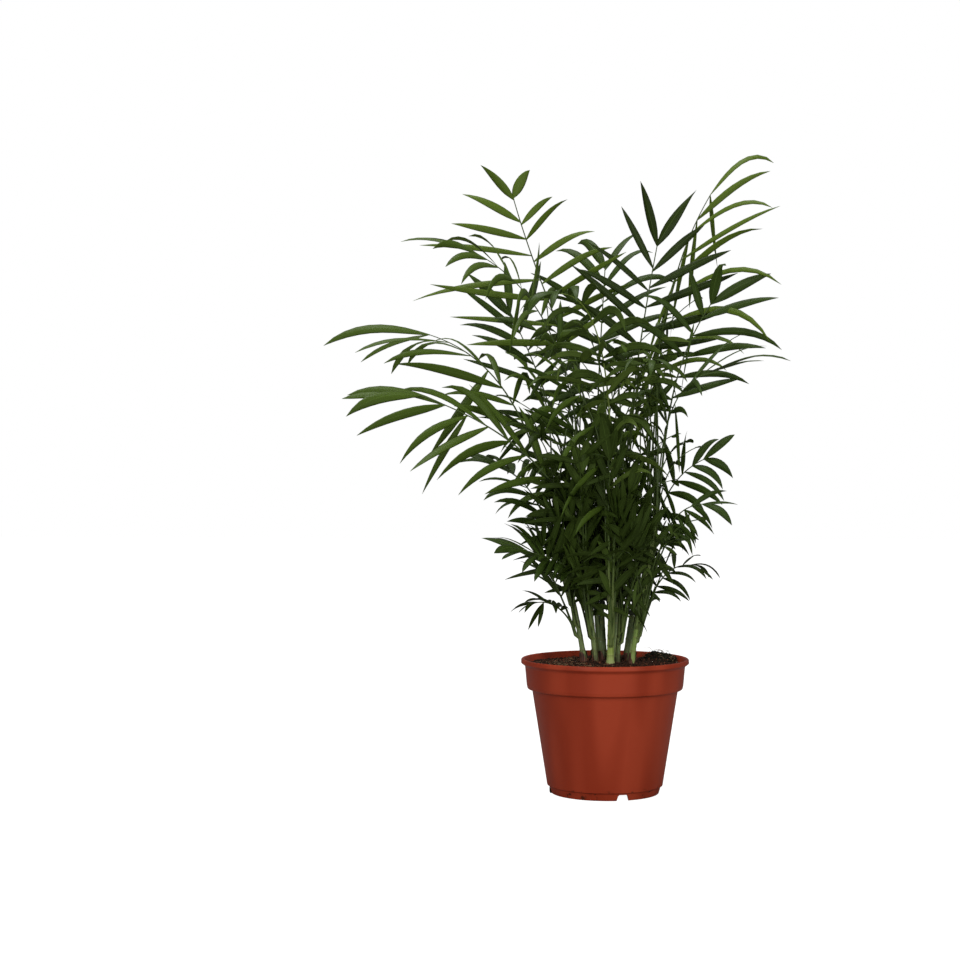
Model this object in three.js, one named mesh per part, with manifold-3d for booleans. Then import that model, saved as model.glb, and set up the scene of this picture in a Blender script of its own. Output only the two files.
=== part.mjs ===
// A potted parlour palm: a nursery pot full of soil, twelve short cane-like stems in a
// clump, and pinnate fronds that fan out of them. Millimetres, +Z up. The origin is the
// middle of the pot's underside, where a small hub stands on the ground.
import * as THREE from "three";
import { mergeVertices } from "three/addons/utils/BufferGeometryUtils.js";
import Module from "manifold-3d";

const wasm = await Module();
wasm.setup();

const V = (x, y, z) => new THREE.Vector3(x, y, z);
const UP = V(0, 0, 1);
const rad = THREE.MathUtils.degToRad;
const mix = THREE.MathUtils.lerp;
const GOLDEN_ANGLE = Math.PI * (3 - Math.sqrt(5));

// ---------------------------------------------------------------- driving dimensions

// The pot: a 17 cm thin-walled nursery pot with a collar, a rolled lip and a foot ring.
const POT = {
  height: 136,
  lipRadius: 85,
  lipHeight: 129.5,
  collarTopRadius: 81,
  collarRadius: 79,
  collarHeight: 108,
  neckRadius: 73.8,
  neckHeight: 104.5,
  baseRadius: 58.4,
  footRadius: 54.5,
  footHeight: 7,
  wall: 1.8,
  floorTop: 8.6,
  floorUnder: 6.4,
  hubRadius: 9,
  notchWidth: 11.8,
  notchHeight: 6,
  notchAngles: [-71, 58, 187], // degrees from +X, the first just right of the front
  drains: 6,
  drainRadius: 4.5,
  drainCircle: 43,
  facets: 36,
};

// The soil's surface: level where the stems stand, rough near the lip, heaped at the back.
const SOIL = { level: 130.5, flatRadius: 40, blend: 25, rough: 1.6, facets: 24 };
const HEAP = { x: 56, y: 43, spread: 15, height: 9 };

// The clump of stems, laid out on a sunflower spiral that is wider along X.
const CLUMP = { count: 12, x: 5, spacing: 7.4, widen: 1.12, lean: 0.75 };
const STEM = { height: 92, vary: 22, footRadius: 3.7, topRadius: 2.3, flare: 1.3, sides: 8 };

const GAP = 0.3; // between pieces that touch in life
// A rib's radius at its foot and tip, the depth of its flat side as a share of that, how far
// it leaves the stem's own direction, and how stiffly it holds its way at foot and tip.
const RIB = { footRadius: 1.4, tipRadius: 0.6, back: 0.4, leave: 0.12, rise: 0.4, reach: 0.36 };
// A leaflet's seat on the rib, its thickness and width as shares of its length, and the
// degrees by which it rises out of the blade and leans off the rib, low down and at the end.
const LEAFLET = { seat: 2.6, thick: 0.018, slender: 0.105, vee: 10, steep: 70, end: 27 };

// The fronds that stand out. Each gives its stem, the height of its fork as a share of the
// stem, the place of its tip, its pitch there in degrees above level, the share of its rib
// that is bare, its pairs of leaflets, the longest leaflet, and the end pair's share of it.
// droop is how far leaflets hang, left and right if they differ. skew adds degrees to the
// right-hand leaflets' lean off the rib and takes them from the left's. side turns the
// blade's cross direction, in degrees from +X in plan. Without it that direction is square
// to the way that the rib leans. A flush rib has its flat side on the stem.
const FRONDS = [
  { name: "tall_left", stem: 3, fork: 1, tip: [-95, 40, 608], pitch: 74, side: 0, skew: 12,
    bare: 0.66, pairs: 9, leaf: 108, end: 0.38, droop: 0.3 },
  { name: "arching_left", stem: 1, fork: 1, tip: [-130, -50, 543], pitch: 24,
    bare: 0.55, pairs: 9, leaf: 82, end: 0.75, droop: 0.75 },
  { name: "behind_left", stem: 6, fork: 1, tip: [-99, 60, 490], pitch: 60, side: 10,
    bare: 0.5, pairs: 8, leaf: 78, end: 0.7, droop: 0.2 },
  { name: "front_left", stem: 7, fork: 1, tip: [-45, -115, 496], pitch: -5,
    bare: 0.55, pairs: 8, leaf: 72, end: 0.6, droop: 1.1 },
  { name: "far_left", stem: 9, fork: 1, tip: [-180, -20, 464], pitch: 16, side: 40, skew: 14,
    bare: 0.52, pairs: 8, leaf: 108, end: 0.95, droop: [0.3, 1.2] },
  { name: "low_left", stem: 4, fork: 1, tip: [-180, -90, 400], pitch: 18, side: 40, skew: 12,
    bare: 0.48, pairs: 9, leaf: 80, end: 0.9, droop: [0.4, 1.2] },
  { name: "centre", stem: 0, fork: 1, tip: [53, 25, 556], pitch: 78, side: 0,
    bare: 0.48, pairs: 9, leaf: 78, end: 0.66, droop: 0.2 },
  { name: "behind_centre", stem: 11, fork: 1, tip: [0, 100, 542], pitch: 55, side: -10,
    bare: 0.5, pairs: 8, leaf: 84, end: 0.7, droop: 0.5 },
  { name: "tall_right", stem: 8, fork: 1, tip: [109, 60, 612], pitch: 50, side: -35,
    bare: 0.54, pairs: 9, leaf: 136, end: 0.6, droop: [1.6, 0.5] },
  { name: "right", stem: 5, fork: 1, tip: [109, -10, 498], pitch: 55, side: 0,
    bare: 0.64, pairs: 5, leaf: 90, end: 0.62, droop: 0.3 },
  { name: "far_right", stem: 10, fork: 1, tip: [103, -70, 423], pitch: 12, side: -75,
    bare: 0.55, pairs: 8, leaf: 86, end: 0.95, droop: 0.4 },
  { name: "front_right", stem: 2, fork: 1, tip: [46, -112, 432], pitch: -5,
    bare: 0.5, pairs: 8, leaf: 68, end: 0.6, droop: 1.0 },
  { name: "lower_left_1", stem: 9, fork: 0.6, tip: [-103, 45, 328], pitch: 26, side: 40,
    bare: 0.45, pairs: 8, leaf: 50, end: 0.85, droop: [0.5, 1.0] },
  { name: "lower_left_2", stem: 4, fork: 0.75, tip: [-80, -35, 246], pitch: 12, side: 50,
    bare: 0.4, pairs: 8, leaf: 46, end: 0.85, droop: 0.6 },
  { name: "lowest_left", stem: 9, fork: 0.3, flush: true, tip: [-71, -25, 193], pitch: -15,
    bare: 0.5, pairs: 5, leaf: 30, end: 0.8, droop: 0.9 },
  { name: "lower_right_1", stem: 8, fork: 0.7, tip: [101, 10, 338], pitch: 25,
    bare: 0.45, pairs: 7, leaf: 46, end: 0.8, droop: 0.9 },
  { name: "lower_right_2", stem: 5, fork: 0.8, tip: [97, -25, 293], pitch: 5,
    bare: 0.45, pairs: 7, leaf: 44, end: 0.9, droop: 0.4 },
  { name: "lower_right_3", stem: 10, fork: 0.65, tip: [68, -55, 258], pitch: 5,
    bare: 0.4, pairs: 6, leaf: 40, end: 0.8, droop: 0.6 },
  { name: "lowest_right", stem: 5, fork: 0.4, flush: true, tip: [87, 12, 230], pitch: -5,
    bare: 0.4, pairs: 7, leaf: 40, end: 0.8, droop: 0.9 },
];

// The fronds between them, in tiers from the top down. Each stem gives one to a tier, as
// far round from the stem's own side of the clump as turn says. A twin grows from the same
// sheath, turned and lowered by the amounts in twin.
const TIERS = [
  { name: "upper", count: 12, fork: 0.92, turn: -38, reach: 78, height: 470, pitch: 30, bare: 0.5,
    pairs: 6, leaf: 78, droop: 0.7, twin: { turn: -64, height: -56, reach: -8 } },
  { name: "middle", count: 12, fork: 0.7, turn: 42, reach: 84, height: 370, pitch: 15, bare: 0.45,
    pairs: 6, leaf: 62, droop: 0.7, twin: { turn: 66, height: -58, reach: -6 } },
  { name: "inner", count: 3, fork: 0.45, turn: 0, reach: 70, height: 290, pitch: 0, bare: 0.4,
    pairs: 5, leaf: 50, droop: 0.8 },
];
const VARY = { seed: 574, turn: 12, reach: 16, height: 36, pitch: 12 };
const NARROW = 0.72; // how much less far the tiers reach along X
// Degrees by which a tier's fronds are turned aside so that their ribs pass clear of others.
const ASIDE = {
  upper_6: -32,
  upper_12: -8,
  middle_1: -16,
  middle_3: -16,
  middle_4: -24,
  middle_8: -24,
};

// ---------------------------------------------------------------- shared helpers

// A number from -1 to 1 that looks random and depends only on its two keys.
function scatter(a, b) {
  const s = Math.sin(a * 127.1 + b * 311.7 + 74.7) * 43758.5453;
  return 2 * (s - Math.floor(s)) - 1;
}

// A closed skin that is put together from rings of points.
class Skin {
  points = [];
  faces = [];

  ring(points) {
    return points.map((p) => this.points.push(p) - 1);
  }

  // The band from one ring to the next, or to a single point. The faces that open names
  // are left out, for something else to grow from.
  band(from, to, open = () => false) {
    const n = from.length;
    for (let k = 0; k < n; k++) {
      const next = (k + 1) % n;
      const [a, b] = [from[k], from[next]];
      const [c, d] = to.length > 1 ? [to[next], to[k]] : [to[0], to[0]];
      if (!open(k, 0)) this.faces.push([a, b, c]);
      if (c !== d && !open(k, 1)) this.faces.push([a, c, d]);
    }
  }

  cap(ring, end) {
    for (let k = 1; k + 1 < ring.length; k++) {
      const [a, b] = end ? [ring[k], ring[k + 1]] : [ring[k + 1], ring[k]];
      this.faces.push([ring[0], a, b]);
    }
  }

  // One closed body through a row of rings, the last of which may be a single point.
  static loft(rows) {
    const skin = new Skin();
    const rings = rows.map((row) => skin.ring(row));
    skin.cap(rings[0], false);
    for (let i = 1; i < rings.length; i++) skin.band(rings[i - 1], rings[i]);
    if (rows.at(-1).length > 1) skin.cap(rings.at(-1), true);
    return skin;
  }

  solid() {
    return new wasm.Manifold(
      new wasm.Mesh({
        numProp: 3,
        vertProperties: new Float32Array(this.points.flatMap((p) => p.toArray())),
        triVerts: new Uint32Array(this.faces.flat()),
      }),
    );
  }
}

// A three.js geometry as a solid, so that it can be cut.
function solidOf(geometry) {
  geometry.deleteAttribute("normal");
  geometry.deleteAttribute("uv");
  const merged = mergeVertices(geometry, 1e-3);
  return new wasm.Manifold(
    new wasm.Mesh({
      numProp: 3,
      vertProperties: merged.attributes.position.array,
      triVerts: new Uint32Array(merged.index.array),
    }),
  );
}

// A named mesh of a solid, placed at a point of its own.
function meshOf(name, solid, material, at = V(0, 0, 0)) {
  const made = solid.translate([-at.x, -at.y, -at.z]).getMesh();
  const geometry = new THREE.BufferGeometry();
  geometry.setAttribute("position", new THREE.BufferAttribute(made.vertProperties, 3));
  geometry.setIndex(new THREE.BufferAttribute(made.triVerts, 1));
  geometry.computeVertexNormals();
  const mesh = new THREE.Mesh(geometry, material);
  mesh.name = name;
  mesh.position.copy(at);
  return mesh;
}

// ---------------------------------------------------------------- materials

const material = (color, roughness) =>
  new THREE.MeshStandardMaterial({ color, roughness, metalness: 0 });
const TERRACOTTA = material(0x9a3a28, 0.45);
const PEAT = material(0x2e211a, 0.95);
const CANE = material(0x4f6b35, 0.6);
const LEAF = material(0x33531f, 0.5);

// ---------------------------------------------------------------- pot and soil

// The wall's inner radius at a height above the floor.
function innerRadius(z) {
  const { baseRadius, neckRadius, neckHeight, footHeight } = POT;
  const outer =
    z < neckHeight
      ? mix(baseRadius, neckRadius, (z - footHeight) / (neckHeight - footHeight))
      : mix(POT.collarRadius, POT.collarTopRadius, (z - neckHeight) / (POT.lipHeight - neckHeight));
  return outer - POT.wall;
}

function pot() {
  const p = POT;
  const outline = [
    [0, 0],
    [p.hubRadius, 0],
    [p.hubRadius, p.floorUnder],
    [p.footRadius - p.wall - 0.5, p.floorUnder],
    [p.footRadius - p.wall, 0],
    [p.footRadius, 0],
    [p.footRadius + 1, p.footHeight],
    [p.baseRadius, p.footHeight + 1.2],
    [p.neckRadius, p.neckHeight],
    [p.collarRadius - 1.4, p.neckHeight + 1],
    [p.collarRadius, p.collarHeight],
    [p.collarTopRadius, p.lipHeight - 1],
    [p.lipRadius - 1.2, p.lipHeight],
    [p.lipRadius, (p.lipHeight + p.height) / 2],
    [p.lipRadius - 1.1, p.height - 0.7],
    [p.collarTopRadius + 0.6, p.height],
    [innerRadius(p.height - 1.2), p.height - 1.2],
    [innerRadius(p.collarHeight + 1), p.collarHeight + 1],
    [innerRadius(p.neckHeight - 2), p.neckHeight - 2],
    [innerRadius(p.floorTop), p.floorTop],
    [0, p.floorTop],
  ].map(([r, z]) => new THREE.Vector2(r, z));
  const turned = new THREE.LatheGeometry(outline, p.facets).rotateX(Math.PI / 2);
  let body = solidOf(turned);
  for (const angle of p.notchAngles) {
    const cut = new THREE.BoxGeometry(12, p.notchWidth, 2 * p.notchHeight);
    cut.translate(p.footRadius - 1, 0, 0).rotateZ(rad(angle));
    body = body.subtract(solidOf(cut));
  }
  for (let i = 0; i < p.drains; i++) {
    const cut = new THREE.CylinderGeometry(p.drainRadius, p.drainRadius, 8, 8);
    cut.rotateX(Math.PI / 2).translate(p.drainCircle, 0, p.floorTop - 1);
    cut.rotateZ(rad(p.notchAngles[0] + (i * 360) / p.drains));
    body = body.subtract(solidOf(cut));
  }
  return meshOf("pot", body, TERRACOTTA);
}

// How high the soil lies at a place.
function soilHeight(x, y) {
  const wild = THREE.MathUtils.smoothstep(Math.hypot(x, y), SOIL.flatRadius, SOIL.flatRadius + SOIL.blend);
  const bumps = Math.sin(x * 0.19 + 1.3) * Math.cos(y * 0.23 - 0.4) * SOIL.rough;
  const away = Math.hypot(x - HEAP.x, y - HEAP.y) / HEAP.spread;
  return SOIL.level + wild * (bumps + HEAP.height * Math.exp(-away * away));
}

function soil() {
  const bottom = POT.floorTop + GAP;
  const ring = (radius, height) =>
    Array.from({ length: SOIL.facets }, (_, k) => {
      const a = (2 * Math.PI * k) / SOIL.facets;
      const [x, y] = [radius * Math.cos(a), radius * Math.sin(a)];
      return V(x, y, height ?? soilHeight(x, y));
    });
  const fit = Math.cos(Math.PI / POT.facets); // the wall's flats lie inside its circle
  const wall = (z) => innerRadius(z) * fit - GAP;
  const rim = wall(SOIL.level);
  const step = POT.neckHeight - 3;
  const body = Skin.loft([
    ring(wall(bottom), bottom),
    ring(wall(step), step),
    ring(wall(step) + 0.2, POT.neckHeight),
    ring(wall(POT.collarHeight + 3), POT.collarHeight + 3),
    ring(rim),
    ring(rim * 0.82),
    ring(rim * 0.64),
    ring(SOIL.flatRadius, SOIL.level),
    [V(0, 0, SOIL.level)],
  ]);
  return meshOf("soil", body.solid(), PEAT);
}

// ---------------------------------------------------------------- stems

// The line that stem i grows along, from its foot on the soil.
function stemLine(i) {
  const r = CLUMP.spacing * Math.sqrt(i + 0.55);
  const a = i * GOLDEN_ANGLE + 0.5;
  const out = V(r * Math.cos(a) * CLUMP.widen, r * Math.sin(a), 0);
  const height = STEM.height + STEM.vary * scatter(i, 1);
  const foot = out.clone().add(V(CLUMP.x, 0, SOIL.level + GAP));
  const top = foot.clone().addScaledVector(out, CLUMP.lean).setZ(SOIL.level + height);
  const bend = foot.clone().lerp(top, 0.5).addScaledVector(out, -0.08);
  return new THREE.QuadraticBezierCurve3(foot, bend, top);
}

const stemRadius = (share) =>
  mix(STEM.footRadius, STEM.topRadius, share) * mix(STEM.flare, 1, Math.min(1, share * 8));

function stem(i) {
  const line = stemLine(i);
  const rows = [0, 0.07, 0.35, 0.7, 1].map((share) => {
    const centre = line.getPoint(share);
    const along = share === 0 ? UP : line.getTangent(share); // the foot is cut level
    const across = V(0, 1, 0).cross(along).normalize();
    const other = along.clone().cross(across);
    return Array.from({ length: STEM.sides }, (_, k) => {
      const a = (2 * Math.PI * k) / STEM.sides;
      return centre
        .clone()
        .addScaledVector(across, stemRadius(share) * Math.cos(a))
        .addScaledVector(other, stemRadius(share) * Math.sin(a));
    });
  });
  return Skin.loft(rows).solid();
}

// ---------------------------------------------------------------- fronds

// The line of a frond's rib, from its fork on the stem, or its twin's, to its tip.
function ribLine(f, twin) {
  const line = stemLine(f.stem);
  const tip = V(...f.tip);
  const fork = line.getPoint(f.fork);
  const grow = line.getTangent(f.fork);
  const away = tip.clone().sub(fork).setZ(0).normalize();
  if (twin) fork.copy(twin.v0);
  else if (f.fork < 1) {
    const side = away.clone().addScaledVector(grow, -away.dot(grow)).normalize();
    const half = RIB.footRadius * (f.flush ? RIB.back : 1);
    fork.addScaledVector(side, stemRadius(f.fork) + half + GAP);
  } else fork.addScaledVector(grow, GAP);
  const reach = fork.distanceTo(tip);
  const leave = grow.clone().addScaledVector(away, f.fork < 1 ? RIB.leave : 0).normalize();
  const pitch = rad(f.pitch);
  const arrive = away.clone().multiplyScalar(Math.cos(pitch)).setZ(Math.sin(pitch));
  return new THREE.CubicBezierCurve3(
    fork,
    fork.clone().addScaledVector(leave, reach * RIB.rise),
    tip.clone().addScaledVector(arrive, -reach * RIB.reach),
    tip,
  );
}

// At a share of the rib: its place, and the ways along it, across the blade, and out of
// the blade's upper face.
function ribFrame(f, share) {
  const place = f.line.getPointAt(share);
  const along = f.line.getTangentAt(share);
  const lean = f.line.v3.clone().sub(f.line.v0);
  const angle = f.side === undefined ? Math.atan2(lean.y, lean.x) - Math.PI / 2 : rad(f.side);
  const across = V(Math.cos(angle), Math.sin(angle), 0);
  across.addScaledVector(along, -across.dot(along)).normalize();
  const face = across.clone().cross(along);
  return { place, along, across, face };
}

// The rib's three corners at a share of its length: right, keel and left.
function ribRing(f, share) {
  const { place, across, face } = ribFrame(f, Math.min(1, share));
  const r = mix(RIB.footRadius, RIB.tipRadius, share);
  const back = place.clone().addScaledVector(face, r * RIB.back);
  const right = back.clone().addScaledVector(across, r);
  const left = back.clone().addScaledVector(across, -r);
  return [right, place.clone().addScaledVector(face, -r), left];
}

// Pair i's place u, from 0 at the lowest pair to 1 at the end, and its share of the rib.
function pairPlace(f, i) {
  const u = i / (f.pairs - 1);
  return { u, share: mix(f.bare, 0.992, u ** 0.95) };
}

// The middle line of pair i's leaflet on one side of the rib. It starts in the blade's
// plane, raised a little, and hangs more the farther it goes.
function leafletLine(f, i, side, steps) {
  const { u, share } = pairPlace(f, i);
  const key = f.key * 40 + i * 2 + (side > 0 ? 1 : 0);
  const { place, along, across, face } = ribFrame(f, share);
  const grow = mix(0.65, 1, Math.min(1, u / 0.35));
  const fade = mix(1, f.end, Math.max(0, (u - 0.5) / 0.5) ** 1.3);
  const length = f.leaf * grow * fade * (1 + 0.07 * scatter(key, 5));
  const width = LEAFLET.slender * mix(length, f.leaf, 0.4);
  const spread = mix(LEAFLET.steep, LEAFLET.end, u ** 6) * (1 + 0.08 * scatter(key, 3));
  const angle = rad(spread + side * (f.skew ?? 0));
  const raise = rad(LEAFLET.vee) + 0.08 * scatter(key, 4);
  const out = across.clone().multiplyScalar(side * Math.cos(raise));
  out.addScaledVector(face, Math.sin(raise));
  const start = along.clone().multiplyScalar(Math.cos(angle)).addScaledVector(out, Math.sin(angle));
  const limp = f.droop.length ? f.droop[side > 0 ? 1 : 0] : f.droop;
  const droop = limp * (1 + 0.35 * scatter(key, 6));
  const places = [place];
  const headings = [start];
  for (let k = 0; k < steps; k++) {
    const s = (k + 0.5) / steps;
    const heading = start.clone().addScaledVector(UP, -2 * droop * s * s).normalize();
    headings.push(heading);
    places.push(places[k].clone().addScaledVector(heading, length / steps));
  }
  return { places, headings, face, length, width };
}

// The rings of a leaflet beyond its seat: near edge, far edge and keel, then the tip.
function leafletRings(f, i, side) {
  const steps = f.leaf > 80 ? 3 : 2;
  const { places, headings, face, length, width } = leafletLine(f, i, side, steps);
  const thick = Math.max(length * LEAFLET.thick, 1);
  const shares = steps === 3 ? [1, 0.72] : [1];
  const rings = shares.map((share, k) => {
    const heading = headings[k + 1];
    const edge = heading.clone().cross(face).normalize().multiplyScalar(side);
    const up = edge.clone().cross(heading).normalize().multiplyScalar(side);
    const half = (width * share) / 2;
    const near = places[k + 1].clone().addScaledVector(edge, half);
    const far = places[k + 1].clone().addScaledVector(edge, -half);
    const keel = places[k + 1].clone().addScaledVector(up, -thick * share);
    return side > 0 ? [near, keel, far] : [keel, near, far];
  });
  return [...rings, [places[steps]]];
}

// The opening in the rib's skin that a leaflet grows from, out of the rings on either side
// of its seat.
const seatRing = (from, to, side) => (side > 0 ? [from[0], to[1], to[0]] : [from[1], from[2], to[2]]);

// The shares of the rib where pair i's seat begins and ends.
function seatShares(f, i) {
  const half = LEAFLET.seat / f.line.getLength() / 2;
  const { share } = pairPlace(f, i);
  return [share - half, share + half];
}

// A frond: a three-sided rib, whose left or right face opens into a leaflet at each seat.
// grows says which leaflets there is room for.
function frond(f, grows) {
  const shares = [0, 0.45, 0.85].map((s) => s * f.bare);
  const seats = new Map();
  for (let i = 0; i < f.pairs; i++) {
    seats.set(shares.length, i);
    shares.push(...seatShares(f, i));
  }
  const skin = new Skin();
  const rings = shares.map((share) => skin.ring(ribRing(f, share)));
  skin.cap(rings[0], false);
  for (let j = 1; j < rings.length; j++) {
    const [from, to] = [rings[j - 1], rings[j]];
    const pair = seats.get(j - 1);
    const sides = [1, -1].filter((side) => pair !== undefined && grows(pair, side));
    const open = (k, half) =>
      (k === 0 && half === 1 && sides.includes(1)) || (k === 1 && half === 0 && sides.includes(-1));
    skin.band(from, to, open);
    for (const side of sides) {
      let last = seatRing(from, to, side);
      for (const row of leafletRings(f, pair, side)) {
        const next = skin.ring(row);
        skin.band(last, next);
        last = next;
      }
    }
  }
  skin.cap(rings.at(-1), true);
  return skin.solid();
}

// One leaflet by itself, to see whether it is clear of everything else.
function looseLeaflet(f, i, side) {
  const [from, to] = seatShares(f, i).map((share) => ribRing(f, share));
  return Skin.loft([seatRing(from, to, side), ...leafletRings(f, i, side)]).solid();
}

// One of a tier's fronds on stem i, written out like those that stand out.
function tierFrond(tier, t, i, twin) {
  const key = VARY.seed + t * 40 + i + (twin ? 20 : 0);
  const stem = Math.round((i * CLUMP.count) / tier.count) + (tier.count < CLUMP.count ? 2 : 0);
  const top = stemLine(stem).v2;
  const { turn, reach, height } = twin ?? { turn: 0, reach: 0, height: 0 };
  const name = `${tier.name}_${i + 1}`;
  const aside = (ASIDE[name] ?? 0) + tier.turn + turn;
  const angle = Math.atan2(top.y, top.x) + rad(aside + VARY.turn * scatter(key, 1));
  const far = tier.reach + reach + VARY.reach * scatter(key, 2);
  const tip = [
    top.x + far * Math.cos(angle) * NARROW,
    top.y + far * Math.sin(angle),
    tier.height + height + VARY.height * scatter(key, 3),
  ];
  const pitch = tier.pitch + VARY.pitch * scatter(key, 4);
  return { ...tier, name, stem, tip, pitch, end: 0.6 };
}

// ---------------------------------------------------------------- assembly

const palm = new THREE.Group();
palm.add(pot(), soil());

const placed = []; // every solid that a leaflet must stay clear of
const boxOf = (solid) => {
  const { min, max } = solid.boundingBox();
  return new THREE.Box3(V(...min), V(...max));
};
const keep = (owner, solid) => placed.push({ owner, solid, box: boxOf(solid) });
const isClear = (solid) => {
  const box = boxOf(solid);
  const near = placed.filter((p) => p.box.intersectsBox(box));
  return near.every((p) => p.solid.intersect(solid).volume() < 1e-6);
};

for (let i = 0; i < CLUMP.count; i++) {
  const name = `stem_${String(i + 1).padStart(2, "0")}`;
  const solid = stem(i);
  keep(name, solid);
  palm.add(meshOf(name, solid, CANE, stemLine(i).v0));
}

// Every node's fronds, one or a pair of twins.
const nodes = [
  ...FRONDS.map((f) => [f]),
  ...TIERS.flatMap((tier, t) =>
    Array.from({ length: tier.count }, (_, i) => {
      const first = tierFrond(tier, t, i);
      return tier.twin ? [first, tierFrond(tier, t, i, tier.twin)] : [first];
    }),
  ),
];
nodes.flat().forEach((f, n) => (f.key = n + 1));
for (const pair of nodes) {
  pair[0].line = ribLine(pair[0]);
  if (pair[1]) pair[1].line = ribLine(pair[1], pair[0].line);
  for (const f of pair) keep(f, frond(f, () => false));
}
for (const pair of nodes) {
  const solids = pair.map((f) => {
    const own = placed.findIndex((p) => p.owner === f);
    const [rib] = placed.splice(own, 1); // its own rib doesn't stop a leaflet
    const room = [new Set(), new Set()];
    for (let i = 0; i < f.pairs; i++) {
      for (const side of [-1, 1]) {
        const leaflet = looseLeaflet(f, i, side);
        if (!isClear(leaflet)) continue;
        keep(f, leaflet);
        room[side > 0 ? 1 : 0].add(i);
      }
    }
    placed.push(rib);
    return frond(f, (i, side) => room[side > 0 ? 1 : 0].has(i));
  });
  const whole = solids.reduce((a, b) => a.add(b));
  palm.add(meshOf(`frond_${pair[0].name}`, whole, LEAF, pair[0].line.v0));
}

export default palm;
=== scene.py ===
"""A potted parlour palm: pot, soil, canes, sheaths, ribs and leaflets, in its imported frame.

Lengths are millimetres in the tables, the growth rule and the rows of points. They become
metres in mesh_of and lines_mesh. Settings, the trees' inputs and the stage are in metres.
"""

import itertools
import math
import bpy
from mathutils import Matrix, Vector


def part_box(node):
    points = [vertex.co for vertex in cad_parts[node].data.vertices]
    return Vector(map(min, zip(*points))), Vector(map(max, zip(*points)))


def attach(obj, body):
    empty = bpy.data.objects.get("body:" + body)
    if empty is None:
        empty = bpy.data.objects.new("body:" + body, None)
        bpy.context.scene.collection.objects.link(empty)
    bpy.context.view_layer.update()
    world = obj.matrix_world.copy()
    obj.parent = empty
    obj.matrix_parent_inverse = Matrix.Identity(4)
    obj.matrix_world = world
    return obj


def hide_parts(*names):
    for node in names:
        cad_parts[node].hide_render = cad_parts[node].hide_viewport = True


bl_info = {
    "name": "Potted parlour palm",
    "version": (1, 0, 0),
    "blender": (4, 5, 0),
    "location": "3D View > Sidebar > Palm",
    "description": "Dresses the frame of a parlour palm in a nursery pot",
    "category": "Object",
}

import bmesh
import bpy
import numpy as np
from mathutils import Euler, Vector

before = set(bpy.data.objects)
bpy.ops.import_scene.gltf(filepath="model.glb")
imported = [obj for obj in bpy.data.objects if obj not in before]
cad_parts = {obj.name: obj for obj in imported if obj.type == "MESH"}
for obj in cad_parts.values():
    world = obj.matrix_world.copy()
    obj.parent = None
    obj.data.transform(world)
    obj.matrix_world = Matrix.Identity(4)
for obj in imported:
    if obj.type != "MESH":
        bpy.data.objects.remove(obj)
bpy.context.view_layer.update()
MM = 0.001
UP = np.array((0.0, 0.0, 1.0))
BACK = np.array((0.0, 1.0, 0.0))
GOLDEN_ANGLE = math.pi * (3 - math.sqrt(5))
UV_NAME = "OFBake"  # the map that every swept piece carries: along in x, across in y


# ------------------------------------------------------------------ the plant's dimensions

# The pot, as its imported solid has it.
POT_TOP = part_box("pot")[1][2] / MM
LIP_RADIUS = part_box("pot")[1][0] / MM
HUB_RADIUS = 9
FOOT_RADIUS = 54.5
FLOOR_UNDER = 6.4
FLOOR_TOP = 8.6
NOTCH_ANGLES = (-71, 58, 187)
NOTCH_TOP = 6.1
NOTCH_DEPTH = 4
PLUGGED = 187  # the notch that a dark plug fills: painted shade, for the dark inside of that notch
PLUG_DEPTH = 1.3
DRAINS = 6
DRAIN_RADIUS = 4.5
DRAIN_CIRCLE = 43
# The radius, height and rounding of each corner of the wall, from the middle of the
# underside out over the foot ring, up to the lip, and down inside to the middle again.
POT_PROFILE = (
    (0, 0, 0), (HUB_RADIUS, 0, 0.5), (HUB_RADIUS, FLOOR_UNDER, 0.6),
    (52.2, FLOOR_UNDER, 0.6), (52.9, 0, 0.4), (FOOT_RADIUS, 0, 0.7),
    (56.6, 7.2, 0.8), (58.5, 8.2, 0.8), (73.8, 104.4, 1.2),
    (78.4, 105.6, 1.6), (79.2, 109, 1.6), (81, 128.6, 3.5),
    (LIP_RADIUS, 131.5, 1.1), (LIP_RADIUS - 0.3, POT_TOP, 1.4), (LIP_RADIUS - 3.6, POT_TOP - 0.4, 1.2),
    (78.6, 127, 3), (77.4, 108.5, 2), (72, 103, 1.5), (56.8, FLOOR_TOP, 1.5), (0, FLOOR_TOP, 0),
)

# The soil: level in the clump, rough toward the lip, with a heap at the back right.
SOIL_LEVEL = 130.5
SOIL_FLAT = 40
SOIL_BLEND = 25
SOIL_ROUGH = 1.6
SOIL_EDGE = 78.6
SOIL_RINGS = 34
SOIL_SIDES = 120
SOIL_WALL = ((77.2, 112), (76.6, 108), (71.4, 103), (56.4, 9.2))  # (radius, height) below its edge
MOUND_HIGH = 3.2
HEAP_ANGLE = 34
HEAP_RADIUS = 69
HEAP_LONG = 19
HEAP_WIDE = 14
HEAP_HIGH = 5.5
MOSS_REACH = 24
FIBRES = 110
FIBRE_STEPS = 9
FIBRE_HALF = 0.26

# The clump of canes, on a sunflower spiral that is wider along X.
CANES = 12
CLUMP_X = 5
SPACING = 7.4
SPIRAL_START = 0.55
SPIRAL_TURN = 0.5
WIDEN = 1.12
LEAN = 0.75
CANE_HEIGHT = 92
CANE_VARY = 22
CANE_BOW = 0.08
CANE_FOOT = 3.7
CANE_TOP = 2.3
CANE_FLARE = 1.3
CANE_JOINTS = 7.0
JOINT_SWELL = 0.1
JOINT_BREADTH = 0.09
CANE_STEPS = 84
CANE_GIRTHS = {7: 1.0, 10: 0.72}  # beside their solids, where the other canes are about 0.74
YOUNG_CANE = 7
YOUNG_FROND = "front_left"
PALE_CANE = 10
GAP = 0.3

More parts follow.
